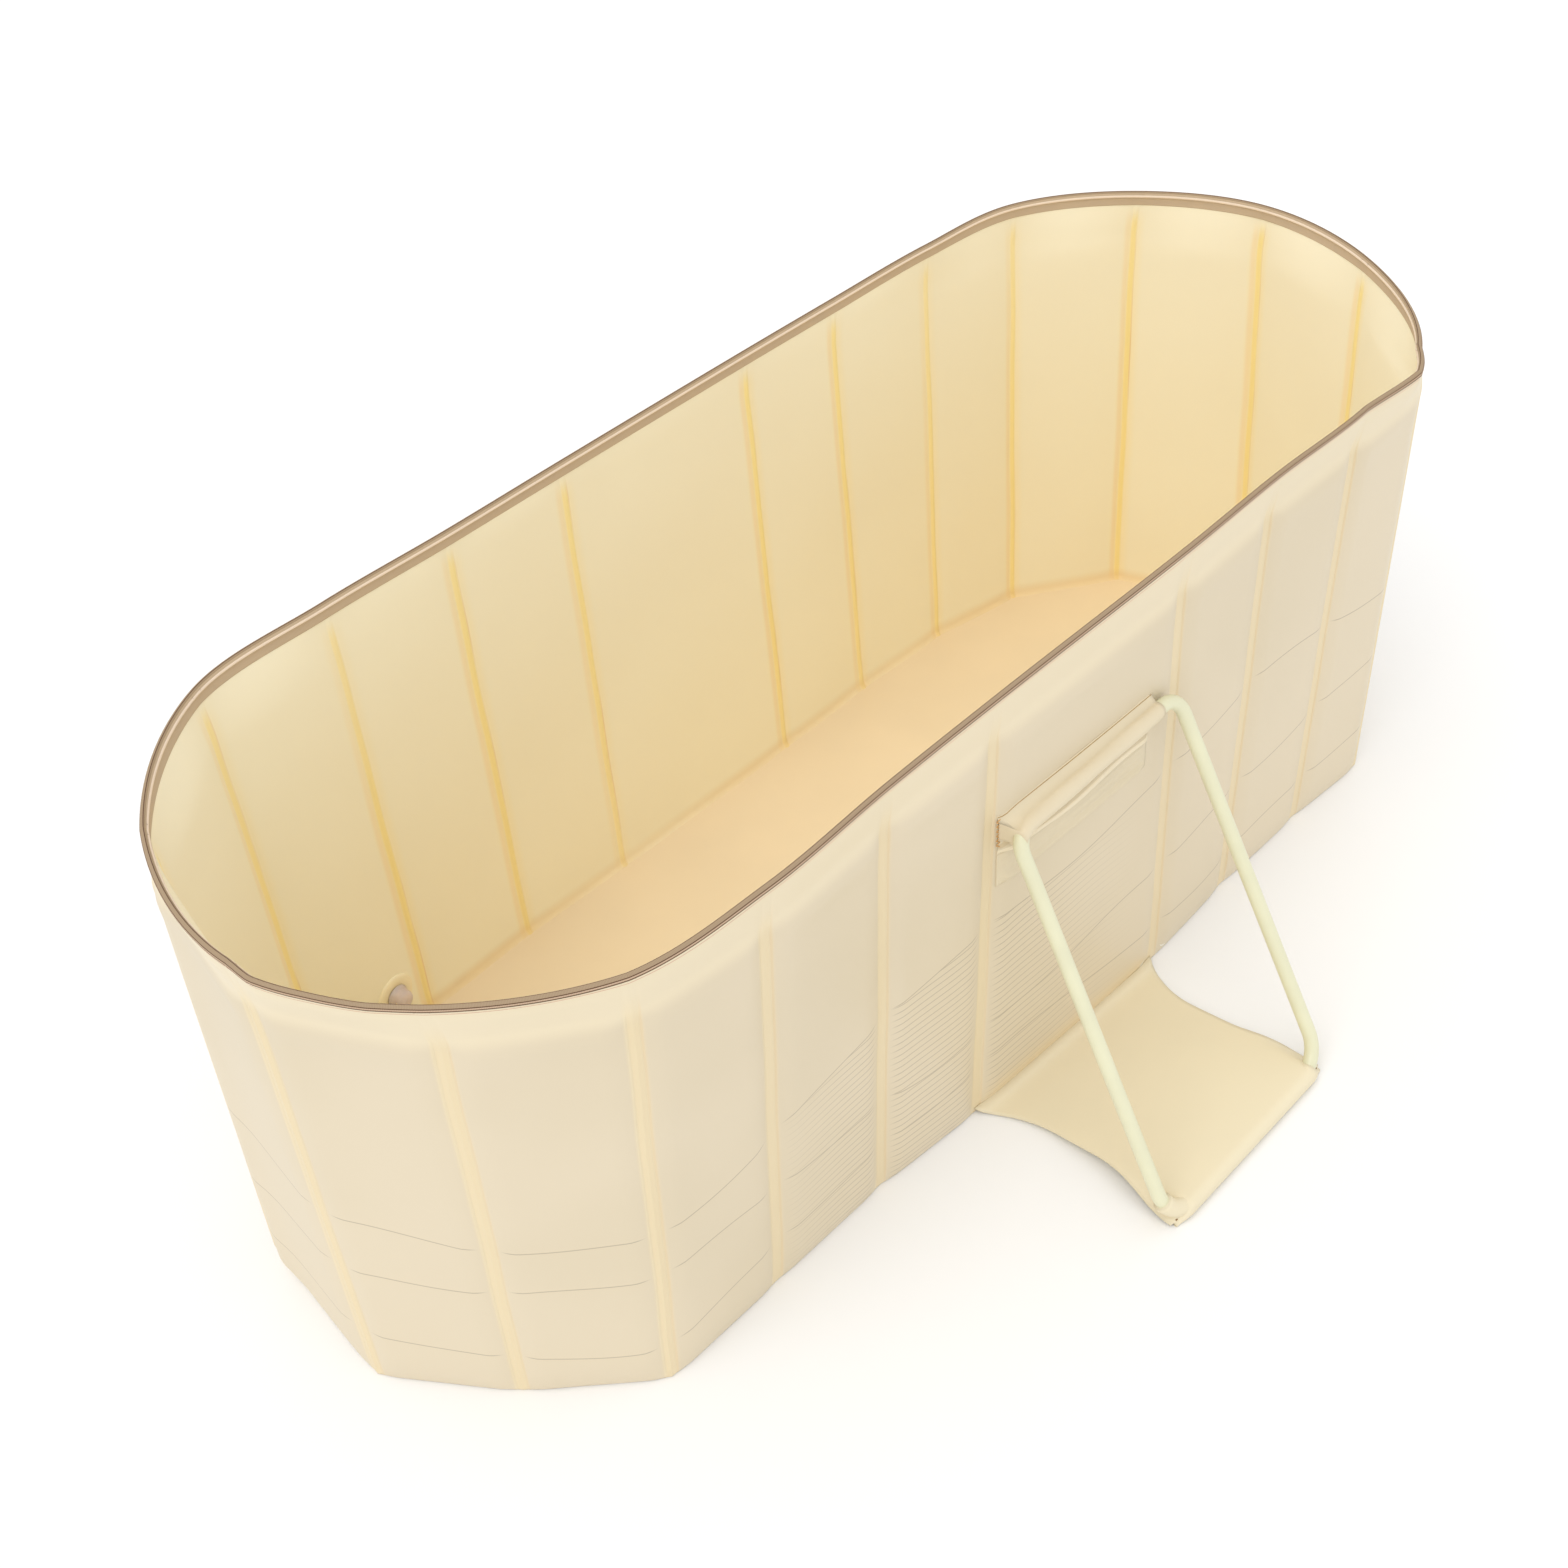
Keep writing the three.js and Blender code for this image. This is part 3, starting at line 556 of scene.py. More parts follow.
def outer_film_material():
    """Cream film with pale bands along the welds and a print, warmer where the flaps leave it; a painted
    highlight on the padded top, and painted light and shade along the welds' edges.
    """
    padded_band_highlight, welds = (0.486, 0.503), (0.530, 0.480)
    band_width, edge_at, edge_width = (0.0100, 0.0035), 0.0064, (0.0014, 0.0003)
    foot_height, foot_inside, foot_outside = (0.045, 0.004), 0.03, 0.01
    s = Shader("outer film", roughness=0.42, specular=0.35)
    reach, z, distance = s.place()
    base = s.mix(s.ramp(s.noise(3.5), 0.35, 0.65), srgb(219, 205, 177), srgb(223, 209, 182))
    # Above the boards the film is only padded and lets some light through; the lighter colour there is also a
    # painted highlight along the panels' padded top roll.
    base = s.mix(s.times(s.ramp(z, *padded_band_highlight), 0.75), base, srgb(236, 222, 191))
    low = s.ramp(z, *welds)
    band = s.times(s.ramp(distance, *band_width), low)
    colour = s.mix(s.times(band, 0.55), base, srgb(237, 217, 172))
    # Along each weld's edge: painted shade as a warm darker line on one side, and a painted highlight as a
    # light line on the other.
    edge = s.times(s.near(distance, edge_at, *edge_width), low)
    colour = s.mix(s.times(edge, s.ramp(s.flank(), 0.0, 1.0), 0.22), colour, srgb(228, 196, 148))
    colour = s.mix(s.times(edge, s.ramp(s.flank(), 0.0, -1.0), 0.25), colour, srgb(244, 230, 194))
    colour = s.mix(s.times(print_ink(s, reach, z, distance), 0.48), colour, srgb(132, 114, 92))
    for panel in WIDE_PANEL.values():
        start, end = seam_reach[panel], seam_reach[panel + 1]
        from_start = s.ramp(reach, start - foot_outside, start + foot_inside)
        from_end = s.ramp(reach, end + foot_outside, end - foot_inside)
        foot = s.times(s.ramp(z, *foot_height), from_start, from_end)
        colour = s.mix(s.times(foot, 0.55), colour, srgb(242, 218, 172))
    s.colour(colour)
    pucker = s.times(s.noise(34, 2, (1, 1, 0.25)), s.ramp(distance, 0.03, 0.0))
    s.bump(s.plus(s.noise(9, 4, (1, 1, 0.6)), s.times(pucker, 0.25)), 0.2, 0.004)
    return s.material


def inner_film_material():
    """Paler film, with a bead along each weld, a warm glow beside it, and painted shade in the crease at the
    floor.
    """
    calm_height, floor_shade_height = (0.534, 0.505), (0.022, 0.004)
    glow_width, bead_width = (0.016, 0.002), (0.0046, 0.0020)
    warm_at, warm_width = 0.0075, (0.0055, 0.0010)
    shade_at, shade_width = 0.0038, (0.0012, 0.0003)
    s = Shader("inner film", roughness=0.45, specular=0.3)
    reach, z, distance = s.place()
    base = s.mix(s.ramp(s.noise(3.0), 0.35, 0.65), srgb(251, 242, 214), srgb(253, 245, 218))
    calm = s.ramp(z, *calm_height)
    varied = s.ramp(s.noise(2.2, 1, (1, 1, 0.5)), 0.35, 0.60)
    glow = s.times(s.ramp(distance, *glow_width), s.math("MULTIPLY_ADD", varied, 0.30, 0.22), calm)
    colour = s.mix(glow, base, srgb(255, 236, 180))
    warm = s.times(s.near(distance, warm_at, *warm_width), s.ramp(s.flank(), 0.0, 1.0), varied, calm)
    colour = s.mix(s.times(warm, 0.30), colour, srgb(250, 216, 158))
    bead = s.times(s.ramp(distance, *bead_width), calm, s.math("MULTIPLY_ADD", varied, 0.40, 0.50))
    colour = s.mix(bead, colour, srgb(255, 233, 158))
    broken = s.ramp(s.noise(7, 2, (1, 1, 0.7)), 0.44, 0.66)
    shade = s.times(s.near(distance, shade_at, *shade_width), s.ramp(s.flank(), 0.0, -0.8), broken, calm)
    colour = s.mix(s.times(shade, 0.55), colour, srgb(236, 192, 126))
    # Painted shade where the wall meets the floor: a darker, warmer band at the foot.
    crease = s.times(s.ramp(z, *floor_shade_height), s.math("MULTIPLY_ADD", varied, 0.30, 0.35))
    s.colour(s.mix(crease, colour, srgb(238, 206, 150)))
    pucker = s.times(s.noise(30, 2, (1, 1, 0.3)), s.ramp(distance, 0.03, 0.0), 0.08)
    rim = s.times(s.noise(26, 3, (1, 1, 0.5)), s.ramp(z, 0.44, 0.53), 0.35)
    s.bump(s.plus(s.noise(8, 4, (1, 1, 0.6)), pucker, rim), 0.22, 0.004)
    return s.material


def tape_material(name, colour, dark, pitch):
    """Woven tape with fine teeth across it."""
    s = Shader(name, roughness=0.8, specular=0.2)
    reach, z, distance = s.place()
    teeth = s.math("SINE", s.math("MULTIPLY", reach, 2 * math.pi / pitch))
    s.colour(s.mix(s.ramp(teeth, -1.0, 1.0), dark, colour))
    s.bump(teeth, 0.3, 0.0004)
    return s.material


def plain_material(name, colour, roughness, specular=0.4, bump=None, grain=(60, 0.03)):
    """A plain surface that is a little uneven in colour and shine; grain is (scale, depth)."""
    s = Shader(name, roughness, specular)
    scale, depth = grain
    uneven = s.ramp(s.noise(scale, 3), 0.3, 0.7)
    darker, lighter = ([min(1.0, c * (1 + change)) for c in colour[:3]] + [1.0] for change in (-depth, depth))
    s.colour(s.mix(uneven, darker, lighter))
    s.put(s.surface.inputs["Roughness"], s.math("MULTIPLY_ADD", uneven, 0.08, roughness - 0.04))
    if bump:
        scale, strength, distance = bump
        s.bump(s.noise(scale, 4), strength, distance)
    return s.material


# How film, thread and moulded plastic are uneven: the scale, strength and depth of their bump.
WRINKLED, THREADY, MOULDED = (10, 0.15, 0.003), (900, 0.3, 0.0003), (250, 0.06, 0.0004)
FILM_GRAIN, PLASTIC_GRAIN = (12, 0.01), (90, 0.02)

outer_film = outer_film_material()
inner_film = inner_film_material()
rim_line = plain_material("rim line", srgb(216, 180, 150), 0.6, 0.3, (500, 0.2, 0.0004), (300, 0.06))
floor_film = plain_material("floor film", srgb(240, 220, 186), 0.42, 0.3, (7, 0.25, 0.006), (5, 0.025))
tape_tan = tape_material("zip tape", srgb(208, 187, 160), srgb(200, 178, 150), 0.0011)
tape_grey = tape_material("zip top", srgb(176, 153, 126), srgb(163, 140, 112), 0.0011)
tape_coil = tape_material("zip stitch", srgb(208, 182, 156), srgb(192, 164, 136), 0.0012)
tape_dark = tape_material("zip edge", srgb(112, 84, 62), srgb(92, 68, 50), 0.0014)
tape_light = tape_material("zip coil", srgb(248, 230, 208), srgb(236, 214, 190), 0.0012)
tube_paint = plain_material("tube paint", srgb(225, 223, 191), 0.32, 0.45, (420, 0.06, 0.0004), (25, 0.02))
flap_film = plain_material("flap film", srgb(233, 221, 190), 0.48, 0.3, WRINKLED, (9, 0.010))
hem_edge = plain_material("hem edge", srgb(222, 208, 170), 0.5, 0.4, (200, 0.15, 0.0005))
# Painted shade in the patch's creases and a painted highlight on its fold's crest, so that the soft fold
# shows.
patch_crease_shade = plain_material("patch crease shade", srgb(216, 198, 163), 0.5, 0.3, (30, 0.2, 0.002), FILM_GRAIN)
patch_fold_highlight = plain_material("patch fold highlight", srgb(240, 226, 196), 0.44, 0.35, WRINKLED, FILM_GRAIN)
outer_patch = plain_material("patch film", srgb(224, 210, 180), 0.44, 0.35, WRINKLED, FILM_GRAIN)
stitch_orange = plain_material("stitch orange", srgb(222, 172, 108), 0.6, 0.3, THREADY, (700, 0.12))
# The upper weld's line: the weld's own brown, darkened further with painted shade along its edge.
weld_brown_and_shade = plain_material("weld brown and shade", srgb(178, 148, 100), 0.6, 0.3, THREADY, (300, 0.10))
stitch_brown = plain_material("stitch brown", srgb(140, 112, 78), 0.7, 0.3, THREADY, (700, 0.12))
board_foam = plain_material("board foam", srgb(244, 241, 230), 0.8, 0.2, (350, 0.3, 0.0008), (350, 0.04))
pale_plastic = plain_material("pale plastic", srgb(251, 238, 202), 0.35, 0.45, MOULDED, PLASTIC_GRAIN)
yellow_plastic = plain_material("yellow plastic", srgb(255, 236, 178), 0.35, 0.45, MOULDED, PLASTIC_GRAIN)


def clear_plastic_material():
    """Cloudy plastic that lets some light in."""
    s = Shader("clear plastic", 0.3, 0.5)
    s.colour(s.mix(s.ramp(s.noise(120, 3), 0.3, 0.7), srgb(222, 203, 196), srgb(234, 217, 210)))
    s.surface.inputs["Subsurface Weight"].default_value = 0.4
    s.surface.inputs["Subsurface Radius"].default_value = (0.01, 0.008, 0.006)
    s.surface.inputs["Subsurface Scale"].default_value = 1.0
    s.surface.inputs["Transmission Weight"].default_value = 0.15
    return s.material


clear_plastic = clear_plastic_material()

# Films: up the outside and down the inside, with a thin line where the zip tape is sewn on.
RIM_LINE_HEIGHT = 0.5391
OUTSIDE_HEIGHTS = [
    0.0, 0.0008, 0.002, 0.004, 0.008, 0.016, 0.030, *np.linspace(0.055, 0.385, 12),
    0.410, 0.432, 0.450, 0.462, 0.471, 0.478, *np.linspace(0.484, 0.524, 9),
    0.5285, 0.533, 0.5380, RIM_LINE_HEIGHT, 0.5400, 0.5420, FILM_TOP,
]
FILM_Z = np.array([*OUTSIDE_HEIGHTS, *reversed(OUTSIDE_HEIGHTS)])
FILM_SIDE = np.repeat([1.0, -1.0], len(OUTSIDE_HEIGHTS))


def film_profile(distance, share, z, row, reach):
    return film_offset(distance, share, z, FILM_SIDE[row], reach)


film = ring_surface(FILM_Z, film_profile)
film_materials = [outer_film, inner_film, rim_line]
film_face_material = [0] * len(OUTSIDE_HEIGHTS) + [1] * len(OUTSIDE_HEIGHTS)
film_face_material[OUTSIDE_HEIGHTS.index(RIM_LINE_HEIGHT)] = 2

# Zip tape over the film's top edge: (offset, height, material of the face to the next point), up the outside
# and down the inside, then the same number of points back up between the tape and the film.
TAN, DARK, LIGHT, GREY, COIL = range(5)
ZIP_PROFILE = [
    (0.0038, 0.5430, GREY), (0.0044, 0.5434, GREY), (0.0047, 0.5441, DARK), (0.0048, 0.5448, DARK),
    (0.0048, 0.5455, COIL), (0.0047, 0.5463, COIL), (0.0045, 0.5471, DARK), (0.0041, 0.5480, GREY),
    # The DARK face from the tape's top point is painted shade along the rim's inner edge; the other DARK
    # faces are the tape's own dark lines.
    (0.0034, 0.5489, GREY), (0.0024, 0.5497, GREY), (0.0012, 0.5500, DARK), (0.0005, 0.5497, GREY),
    (-0.0006, 0.5482, TAN), (-0.0008, 0.5464, TAN), (-0.0010, 0.5456, LIGHT), (-0.0020, 0.5450, LIGHT),
    (-0.0022, 0.5436, LIGHT), (-0.0012, 0.5428, TAN), (-0.0010, 0.5400, TAN), (-0.0010, 0.5368, TAN),
    (-0.0012, 0.5346, TAN), (-0.0011, 0.5336, DARK), (-0.0003, 0.5332, TAN), (0.0006, 0.5340, TAN),
    (0.0012, 0.5432, TAN), (0.0028, 0.5431, TAN),
]
ZIP_OFFSET = np.array([p[0] for p in ZIP_PROFILE])
ZIP_Z = np.array([p[1] for p in ZIP_PROFILE])
zip_face_material = [p[2] for p in ZIP_PROFILE]


def zip_profile(distance, share, z, row, reach):
    return ZIP_OFFSET[row]


zip_surface = ring_surface(ZIP_Z, zip_profile)
zip_materials = [tape_tan, tape_dark, tape_light, tape_grey, tape_coil]

LAYERS = {
    "film": (film, film_materials, FILM_Z, film_face_material, "_weld"),
    "zip": (zip_surface, zip_materials, ZIP_Z, zip_face_material, "_zip_bend"),
}


def ring_end(seam):
    return RING_LENGTH if seam == PANELS else seam_reach[seam]


cover_of, welds_on = {}, {body: [] for body in BODY_PANELS}
for kind, (surface, materials, row_z, face_material, bend_name) in LAYERS.items():
    for body, (first, last) in BODY_PANELS.items():
        columns = column_range(ring_end(first) + SEAM_HALF, ring_end(last) - SEAM_HALF)
        piece = ring_piece(f"{body}_{kind}", surface, columns, materials, row_z, face_material)
        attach(piece, body)
        if kind == "film":
            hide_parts(body + "_cover")
            cover_of[body] = piece
        else:
            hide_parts(body + "_zip_tape")
    for i, (name, *bodies) in [*HINGE_SEAMS.items(), *OPEN_SEAMS.items()]:
        columns = column_range(seam_reach[i] - SEAM_HALF, seam_reach[i] + SEAM_HALF)
        strip = ring_piece(name + bend_name, surface, columns, materials, row_z, face_material)
        if kind == "film":
            welds_on[bodies[-1]].append(strip)
        if len(bodies) == 1:
            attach(strip, bodies[0])
            continue
        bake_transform(strip)

# Boards, shifted as the film is.
BOARD_INSET, BOARD_CORNER, BOARD_FOOT = 0.013, 0.010, 0.006
BOARD_BACK, BOARD_FRONT = 0.0016, 0.0042
BOARD_SHARES = np.linspace(0, 1, 7)
corner_rises = [BOARD_CORNER * (1 - math.cos(math.radians(a))) for a in (0, 22.5, 45, 67.5, 90)]
lower_corner = [BOARD_FOOT + rise for rise in corner_rises]
upper_corner = [BOARD_TOP - rise for rise in reversed(corner_rises)]
BOARD_Z = np.array([*lower_corner, *np.linspace(0.05, 0.45, 9), *upper_corner])


def board_object(name, panel):
    """A flat board with rounded corners, in one pocket."""
    length = panel_length[panel]
    past_corner = np.maximum(BOARD_CORNER - np.minimum(BOARD_Z - BOARD_FOOT, BOARD_TOP - BOARD_Z), 0)
    inset = BOARD_INSET + BOARD_CORNER - np.sqrt(np.maximum(BOARD_CORNER**2 - past_corner**2, 0))
    x = inset[:, None] + BOARD_SHARES[None, :] * (length - 2 * inset[:, None])
    z = np.repeat(BOARD_Z, len(BOARD_SHARES))
    plan, outward = ring_plan(np.full(len(z), panel), x.ravel() / length, z)
    back, front = (
        np.column_stack([plan + outward * offset, z]).reshape(len(BOARD_Z), -1, 3)
        for offset in (BOARD_BACK, BOARD_FRONT)
    )
    rings = [np.concatenate([f, b[::-1]]) for f, b in zip(front, back)]
    count = len(rings[0])
    faces = strip_faces(len(rings), count, ring=True)
    for first, flip in ((0, True), ((len(rings) - 1) * count, False)):
        for k in range(count // 2 - 1):
            quad = (first + k, first + k + 1, first + count - 2 - k, first + count - 1 - k)
            faces.append(quad[::-1] if flip else quad)
    return new_object(name, np.concatenate(rings), faces, board_foam, smooth_shading=False)


for body, (first, last) in BODY_PANELS.items():
    for k in range(last - first):
        piece = board_object(f"{body}_stiffener_{k + 1}", first + k)
        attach(piece, body)
        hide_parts(f"{body}_board_{k + 1}")

# Floor sheet: from the middle line out to the walls' foot.
FLOOR_SHARES = [0, 0.12, 0.24, 0.36, 0.48, 0.60, 0.70, 0.79, 0.86, 0.91, 0.95, 0.98, 1.0]
FLOOR_THICKNESS, FLOOR_HEIGHT, FLOOR_WAVE = 0.0012, 0.0016, 0.0016
FLOOR_MIDDLE_HALF = 0.42
# The height at which the sheet meets the films, how far it goes into them, and the columns of the ring that
# it skips by the seams.
FLOOR_EDGE_HEIGHT, FLOOR_TUCK, FLOOR_SKIP = 0.004, 0.0005, 0.02


def floor_rows():
    """Rows of points from the middle line to the edge, one for each column of the ring that is used."""
    used = (column_distance < 1e-9) | (column_distance > FLOOR_SKIP)
    plan, outward = ring_plan(column_panel[used], column_share[used], np.full(used.sum(), FLOOR_EDGE_HEIGHT))
    rows = []
    for edge in plan + outward * FLOOR_TUCK:
        middle = np.array([np.clip(edge[0], -FLOOR_MIDDLE_HALF, FLOOR_MIDDLE_HALF), 0.0])
        row = []
        for share in FLOOR_SHARES:
            x, y = middle + (edge - middle) * share
            wave = FLOOR_WAVE * (1 + math.sin(9 * x + 1) * math.cos(13 * y + 5 * x))
            row.append((x, y, FLOOR_HEIGHT + (1 - share**6) * wave))
        rows.append(row)
    return rows


floor_sheet = grid_object("floor_film", floor_rows(), floor_film, loop=True)
merge_points(floor_sheet, 1e-5)
add_thickness(floor_sheet, FLOOR_THICKNESS)
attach(floor_sheet, "near_wall")
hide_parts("floor_sheet")
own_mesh(floor_sheet)

# Stands.
TUBE_RADIUS = 0.0072
LOOP_OUT, LOOP_HINGE = 0.2853, 0.392
FOOT_OUT, FOOT_HEIGHT = 0.4813, 0.0096
TOP_HALF, FOOT_HALF = 0.121, 0.129
TOP_CORNER, FOOT_CORNER = 0.022, 0.034
LEG = math.hypot(LOOP_HINGE - FOOT_HEIGHT, FOOT_OUT - LOOP_OUT)
DOWN = np.array([0.0, -(FOOT_OUT - LOOP_OUT), -(LOOP_HINGE - FOOT_HEIGHT)]) / LEG
ARC_STEPS, STRAIGHT_STEPS = 10, 12


def loop_path():
    """The loop's centreline in its own plane, as (x, distance down the leg)."""
    top = [(side * TOP_HALF, 0, TOP_CORNER) for side in (-1, 1)]
    foot = [(side * FOOT_HALF, LEG, FOOT_CORNER) for side in (1, -1)]
    corners = top + foot
    arcs = []
    for i, (x, y, radius) in enumerate(corners):
        at = np.array([x, y])
        before = unit(np.array(corners[i - 1][:2]) - at)
        after = unit(np.array(corners[(i + 1) % 4][:2]) - at)
        half = math.acos(before @ after) / 2
        centre = at + unit(before + after) * radius / math.sin(half)
        start, end = (at + way * radius / math.tan(half) - centre for way in (before, after))
        turn = math.atan2(start[1], start[0])
        sweep = (math.atan2(end[1], end[0]) - turn + math.pi) % (2 * math.pi) - math.pi
        angles = turn + sweep * np.arange(ARC_STEPS + 1) / ARC_STEPS
        arcs.append([centre + radius * np.array([math.cos(a), math.sin(a)]) for a in angles])
    points = []
    for arc, following in zip(arcs, arcs[1:] + arcs[:1]):
        straight = following[0] - arc[-1]
        points += arc
        points += [arc[-1] + straight * step / STRAIGHT_STEPS for step in range(1, STRAIGHT_STEPS)]
    return np.array(points)


def tube(name, centres, radii, material, closed=False, sides=24, squeeze=None):
    """A round tube along points in space; radii is one value or one for each point."""
    centres = np.array(centres)
    radii = np.broadcast_to(radii, len(centres))
    ahead = np.roll(centres, -1, axis=0) - centres
    behind = centres - np.roll(centres, 1, axis=0)
    if not closed:
        ahead[-1], behind[0] = behind[-1], ahead[0]
    tangents = unit(unit(ahead) + unit(behind))
    normal = unit(np.cross(tangents[0], [0.3, 0.2, 1.0]))
    rows = []
    for centre, tangent, radius in zip(centres, tangents, radii):
        normal = unit(normal - tangent * (normal @ tangent))
        side = np.cross(tangent, normal)
        angles = [2 * math.pi * k / sides for k in range(sides)]
        row = [centre + radius * (normal * math.cos(a) + side * math.sin(a)) for a in angles]
        rows.append([squeeze(spot) for spot in row] if squeeze else row)
    return grid_object(name, rows, material, loop=closed, ring=True)


WALL_SIGN = {"near": 1, "far": -1}
# How far past the wide panel the wall is looked up, as a share of it, and at how many places.
WALL_PAST, WALL_SAMPLES = 0.25, 61


def mirror_points(points, wall):
    """The near stand's points, or the same turned half round for the far one."""
    sign = WALL_SIGN[wall]
    return [(sign * p[0], sign * p[1], p[2]) for p in points]


def wall_out(wall, x, z):
    """How far out the visible film of the wide panel is at x and z, for the near stand's own x."""
    panel = WIDE_PANEL[wall]
    shares = np.linspace(-WALL_PAST, 1 + WALL_PAST, WALL_SAMPLES)
    heights = np.full(WALL_SAMPLES, float(z))
    before, after = shares < 0, shares > 1
    panels = (panel - before + after) % PANELS
    lengths = panel_length[panels]
    # The shares past the wide panel's ends are turned into shares of its two neighbours.
    past = np.where(before, shares, shares - 1) * panel_length[panel] / lengths
    local = np.where(before | after, past + before, shares)
    plan, outward = ring_plan(panels, local, heights)
    distance = np.minimum(local, 1 - local) * lengths
    offset = film_offset(distance, local, heights, np.ones(WALL_SAMPLES), np.zeros(WALL_SAMPLES))
    spot = (plan + outward * offset[:, None]) * WALL_SIGN[wall]
    order = np.argsort(spot[:, 0])
    return float(-np.interp(x, spot[order, 0], spot[order, 1]))


# Sleeve: how far it reaches on either side, and where its left end starts to close.
SLEEVE_LEFT, SLEEVE_RIGHT, SLEEVE_CLOSES = -0.1222, 0.092, -0.1176
SLEEVE_RADIUS, SLEEVE_WAVE, SLEEVE_FILM = 0.0090, 0.0003, 0.0010
SLEEVE_XS = np.concatenate([
    np.linspace(SLEEVE_LEFT, SLEEVE_CLOSES, 6)[:-1],
    np.linspace(SLEEVE_CLOSES, SLEEVE_RIGHT, 45),
])
# The upper weld and the patch under the tube, as (height, rise from the wall). The patch has a soft fold,
# fine creases and the lower weld.
UPPER_WELD = [(0.4072, 0.0002), (0.4064, 0.0012), (0.4052, 0.0015)]
PATCH = [
    (0.3790, 0.0020), (0.3745, 0.0012), (0.3705, 0.0014), (0.3680, 0.0048), (0.3655, 0.0088),
    (0.3625, 0.0104), (0.3595, 0.0088), (0.3570, 0.0046), (0.3550, 0.0018), (0.3520, 0.0013),
    (0.3490, 0.0034), (0.3465, 0.0016), (0.3435, 0.0012), (0.3400, 0.0024), (0.3375, 0.0013),
    (0.3340, 0.0012), (0.3312, 0.0022), (0.3290, 0.0013), (0.3262, 0.0016), (0.3238, 0.0036),
    (0.3215, 0.0046), (0.3192, 0.0036), (0.3168, 0.0014), (0.3155, 0.0004),
]
# The patch's plain rise, and how wide its side edges are and how far they lie down.
PATCH_RISE, PATCH_INSET, PATCH_EDGE = 0.0012, 0.010, 0.0010
# How far the upper weld and the folds move down with the tube's bend, and from which height the folds do.
WELD_SINK, PATCH_SINK, SINK_FROM, SINK_WIDTH = 0.004, 0.018, 0.352, 0.02
# The fold starts below the first of these heights, is uneven down to the second, and the side edges lie down
# below the third.
FOLD_TOP, UNEVEN_FROM, EDGES_BELOW, FOLD_UNEVEN = 0.377, 0.33, 0.360, 0.25
# The fold fades towards the sleeve's ends, from this far from its middle, over this width.
FOLD_HALF, FOLD_FADE = 0.092, 0.014
# The film's angles round the tube, and how far it stands off the wall where it is stitched.
SLEEVE_ANGLES, CLOSED_RISE = np.radians(np.linspace(112, -92, 15)), 0.0013
# Which faces of the sleeve are the thread of the upper weld, its brown partly painted shade, the creases,
# with painted shade, and the crest of the fold, with a painted highlight.
SLEEVE_FACES = {1: 1, 19: 2, 20: 2, 25: 2, 22: 3, 23: 3}
THREAD_RADIUS, THREAD_OUT, THREAD_IN, THREAD_ZIG = 0.0005, 0.0022, 0.0016, 0.0034
THREAD_HEIGHTS = np.linspace(0.400, 0.366, 13)

# Hem and flap.
HEM_UP, HEM_RIGHT, HEM_RADIUS, HEM_TURN, HEM_LEAST = 0.024, 0.112, 0.0092, 0.0004, 0.0003
FLAP_THICKNESS, FLAP_FOOT_HEIGHT, FLAP_SAG = 0.0011, 0.004, 0.0010
# How high the flap lies by the wall, and how much higher by the hem.
FLAP_RISE, FLAP_CLIMB = 0.0014, 0.0180
# How far out the waist is, how sharply it draws in, and from which share outwards the flap widens again.
FLAP_WAIST, WAIST_CURVE, WIDENS_FROM = 0.078, 2.2, 0.55
FLAP_FOOT_HALF, FLAP_WAIST_HALF, FLAP_CORNER_HALF = 0.139, 0.111, 0.127
# The flap's corners lie flat from this far out of its middle, over this width.
FLAT_FROM, FLAT_WIDTH = 0.104, 0.023
# How much of the climb the corners lose, and from which share of the way out.
CORNER_DROP, DROP_FROM = 0.93, 0.6
FLAP_STEPS, FLAP_COLUMNS = 33, 49
# By the wall the flap curls up from the floor, and has two creases.
CURL_UP, CURL_WIDTH = 0.006, 0.004
CREASES, CREASE_DEPTH, CREASE_WIDTH = (0.010, 0.018), 0.0009, 0.0025
WRAP_ANGLES = (72, 54, 36, 18, 0, -18, -36, -54, -72)
# How many rows of faces of the wrap have the flap's own look before the hem's edge.
WRAP_PLAIN = 6
# How far the wrap stands off the hem and above the tube's middle, and its least height.
WRAP_GAP, WRAP_UP, WRAP_LEAST = 0.0005, 0.0002, 0.0015
# How far its corners are drawn in, and how much nearer to the tube and lower they are.
WRAP_DRAWN_IN, WRAP_NARROW, WRAP_LOW = 0.004, 0.55, 0.82
STITCH_HALF, STITCHES = np.array([0.0022, 0.0007, 0.0006]), 6
# How far the stitches are from the flap's corner and how far they lean in, where they start before the foot
# tube and how far they go, and their height.
STITCH_IN, STITCH_LEAN, STITCH_START, STITCH_RUN, STITCH_HEIGHT = 0.0075, 0.001, 0.020, 0.022, 0.0062


def on_floor(p):
    return (p[0], p[1], max(p[2], HEM_LEAST))


def blend_step(x):
    """smooth() for a single number."""
    return float(smooth(x))


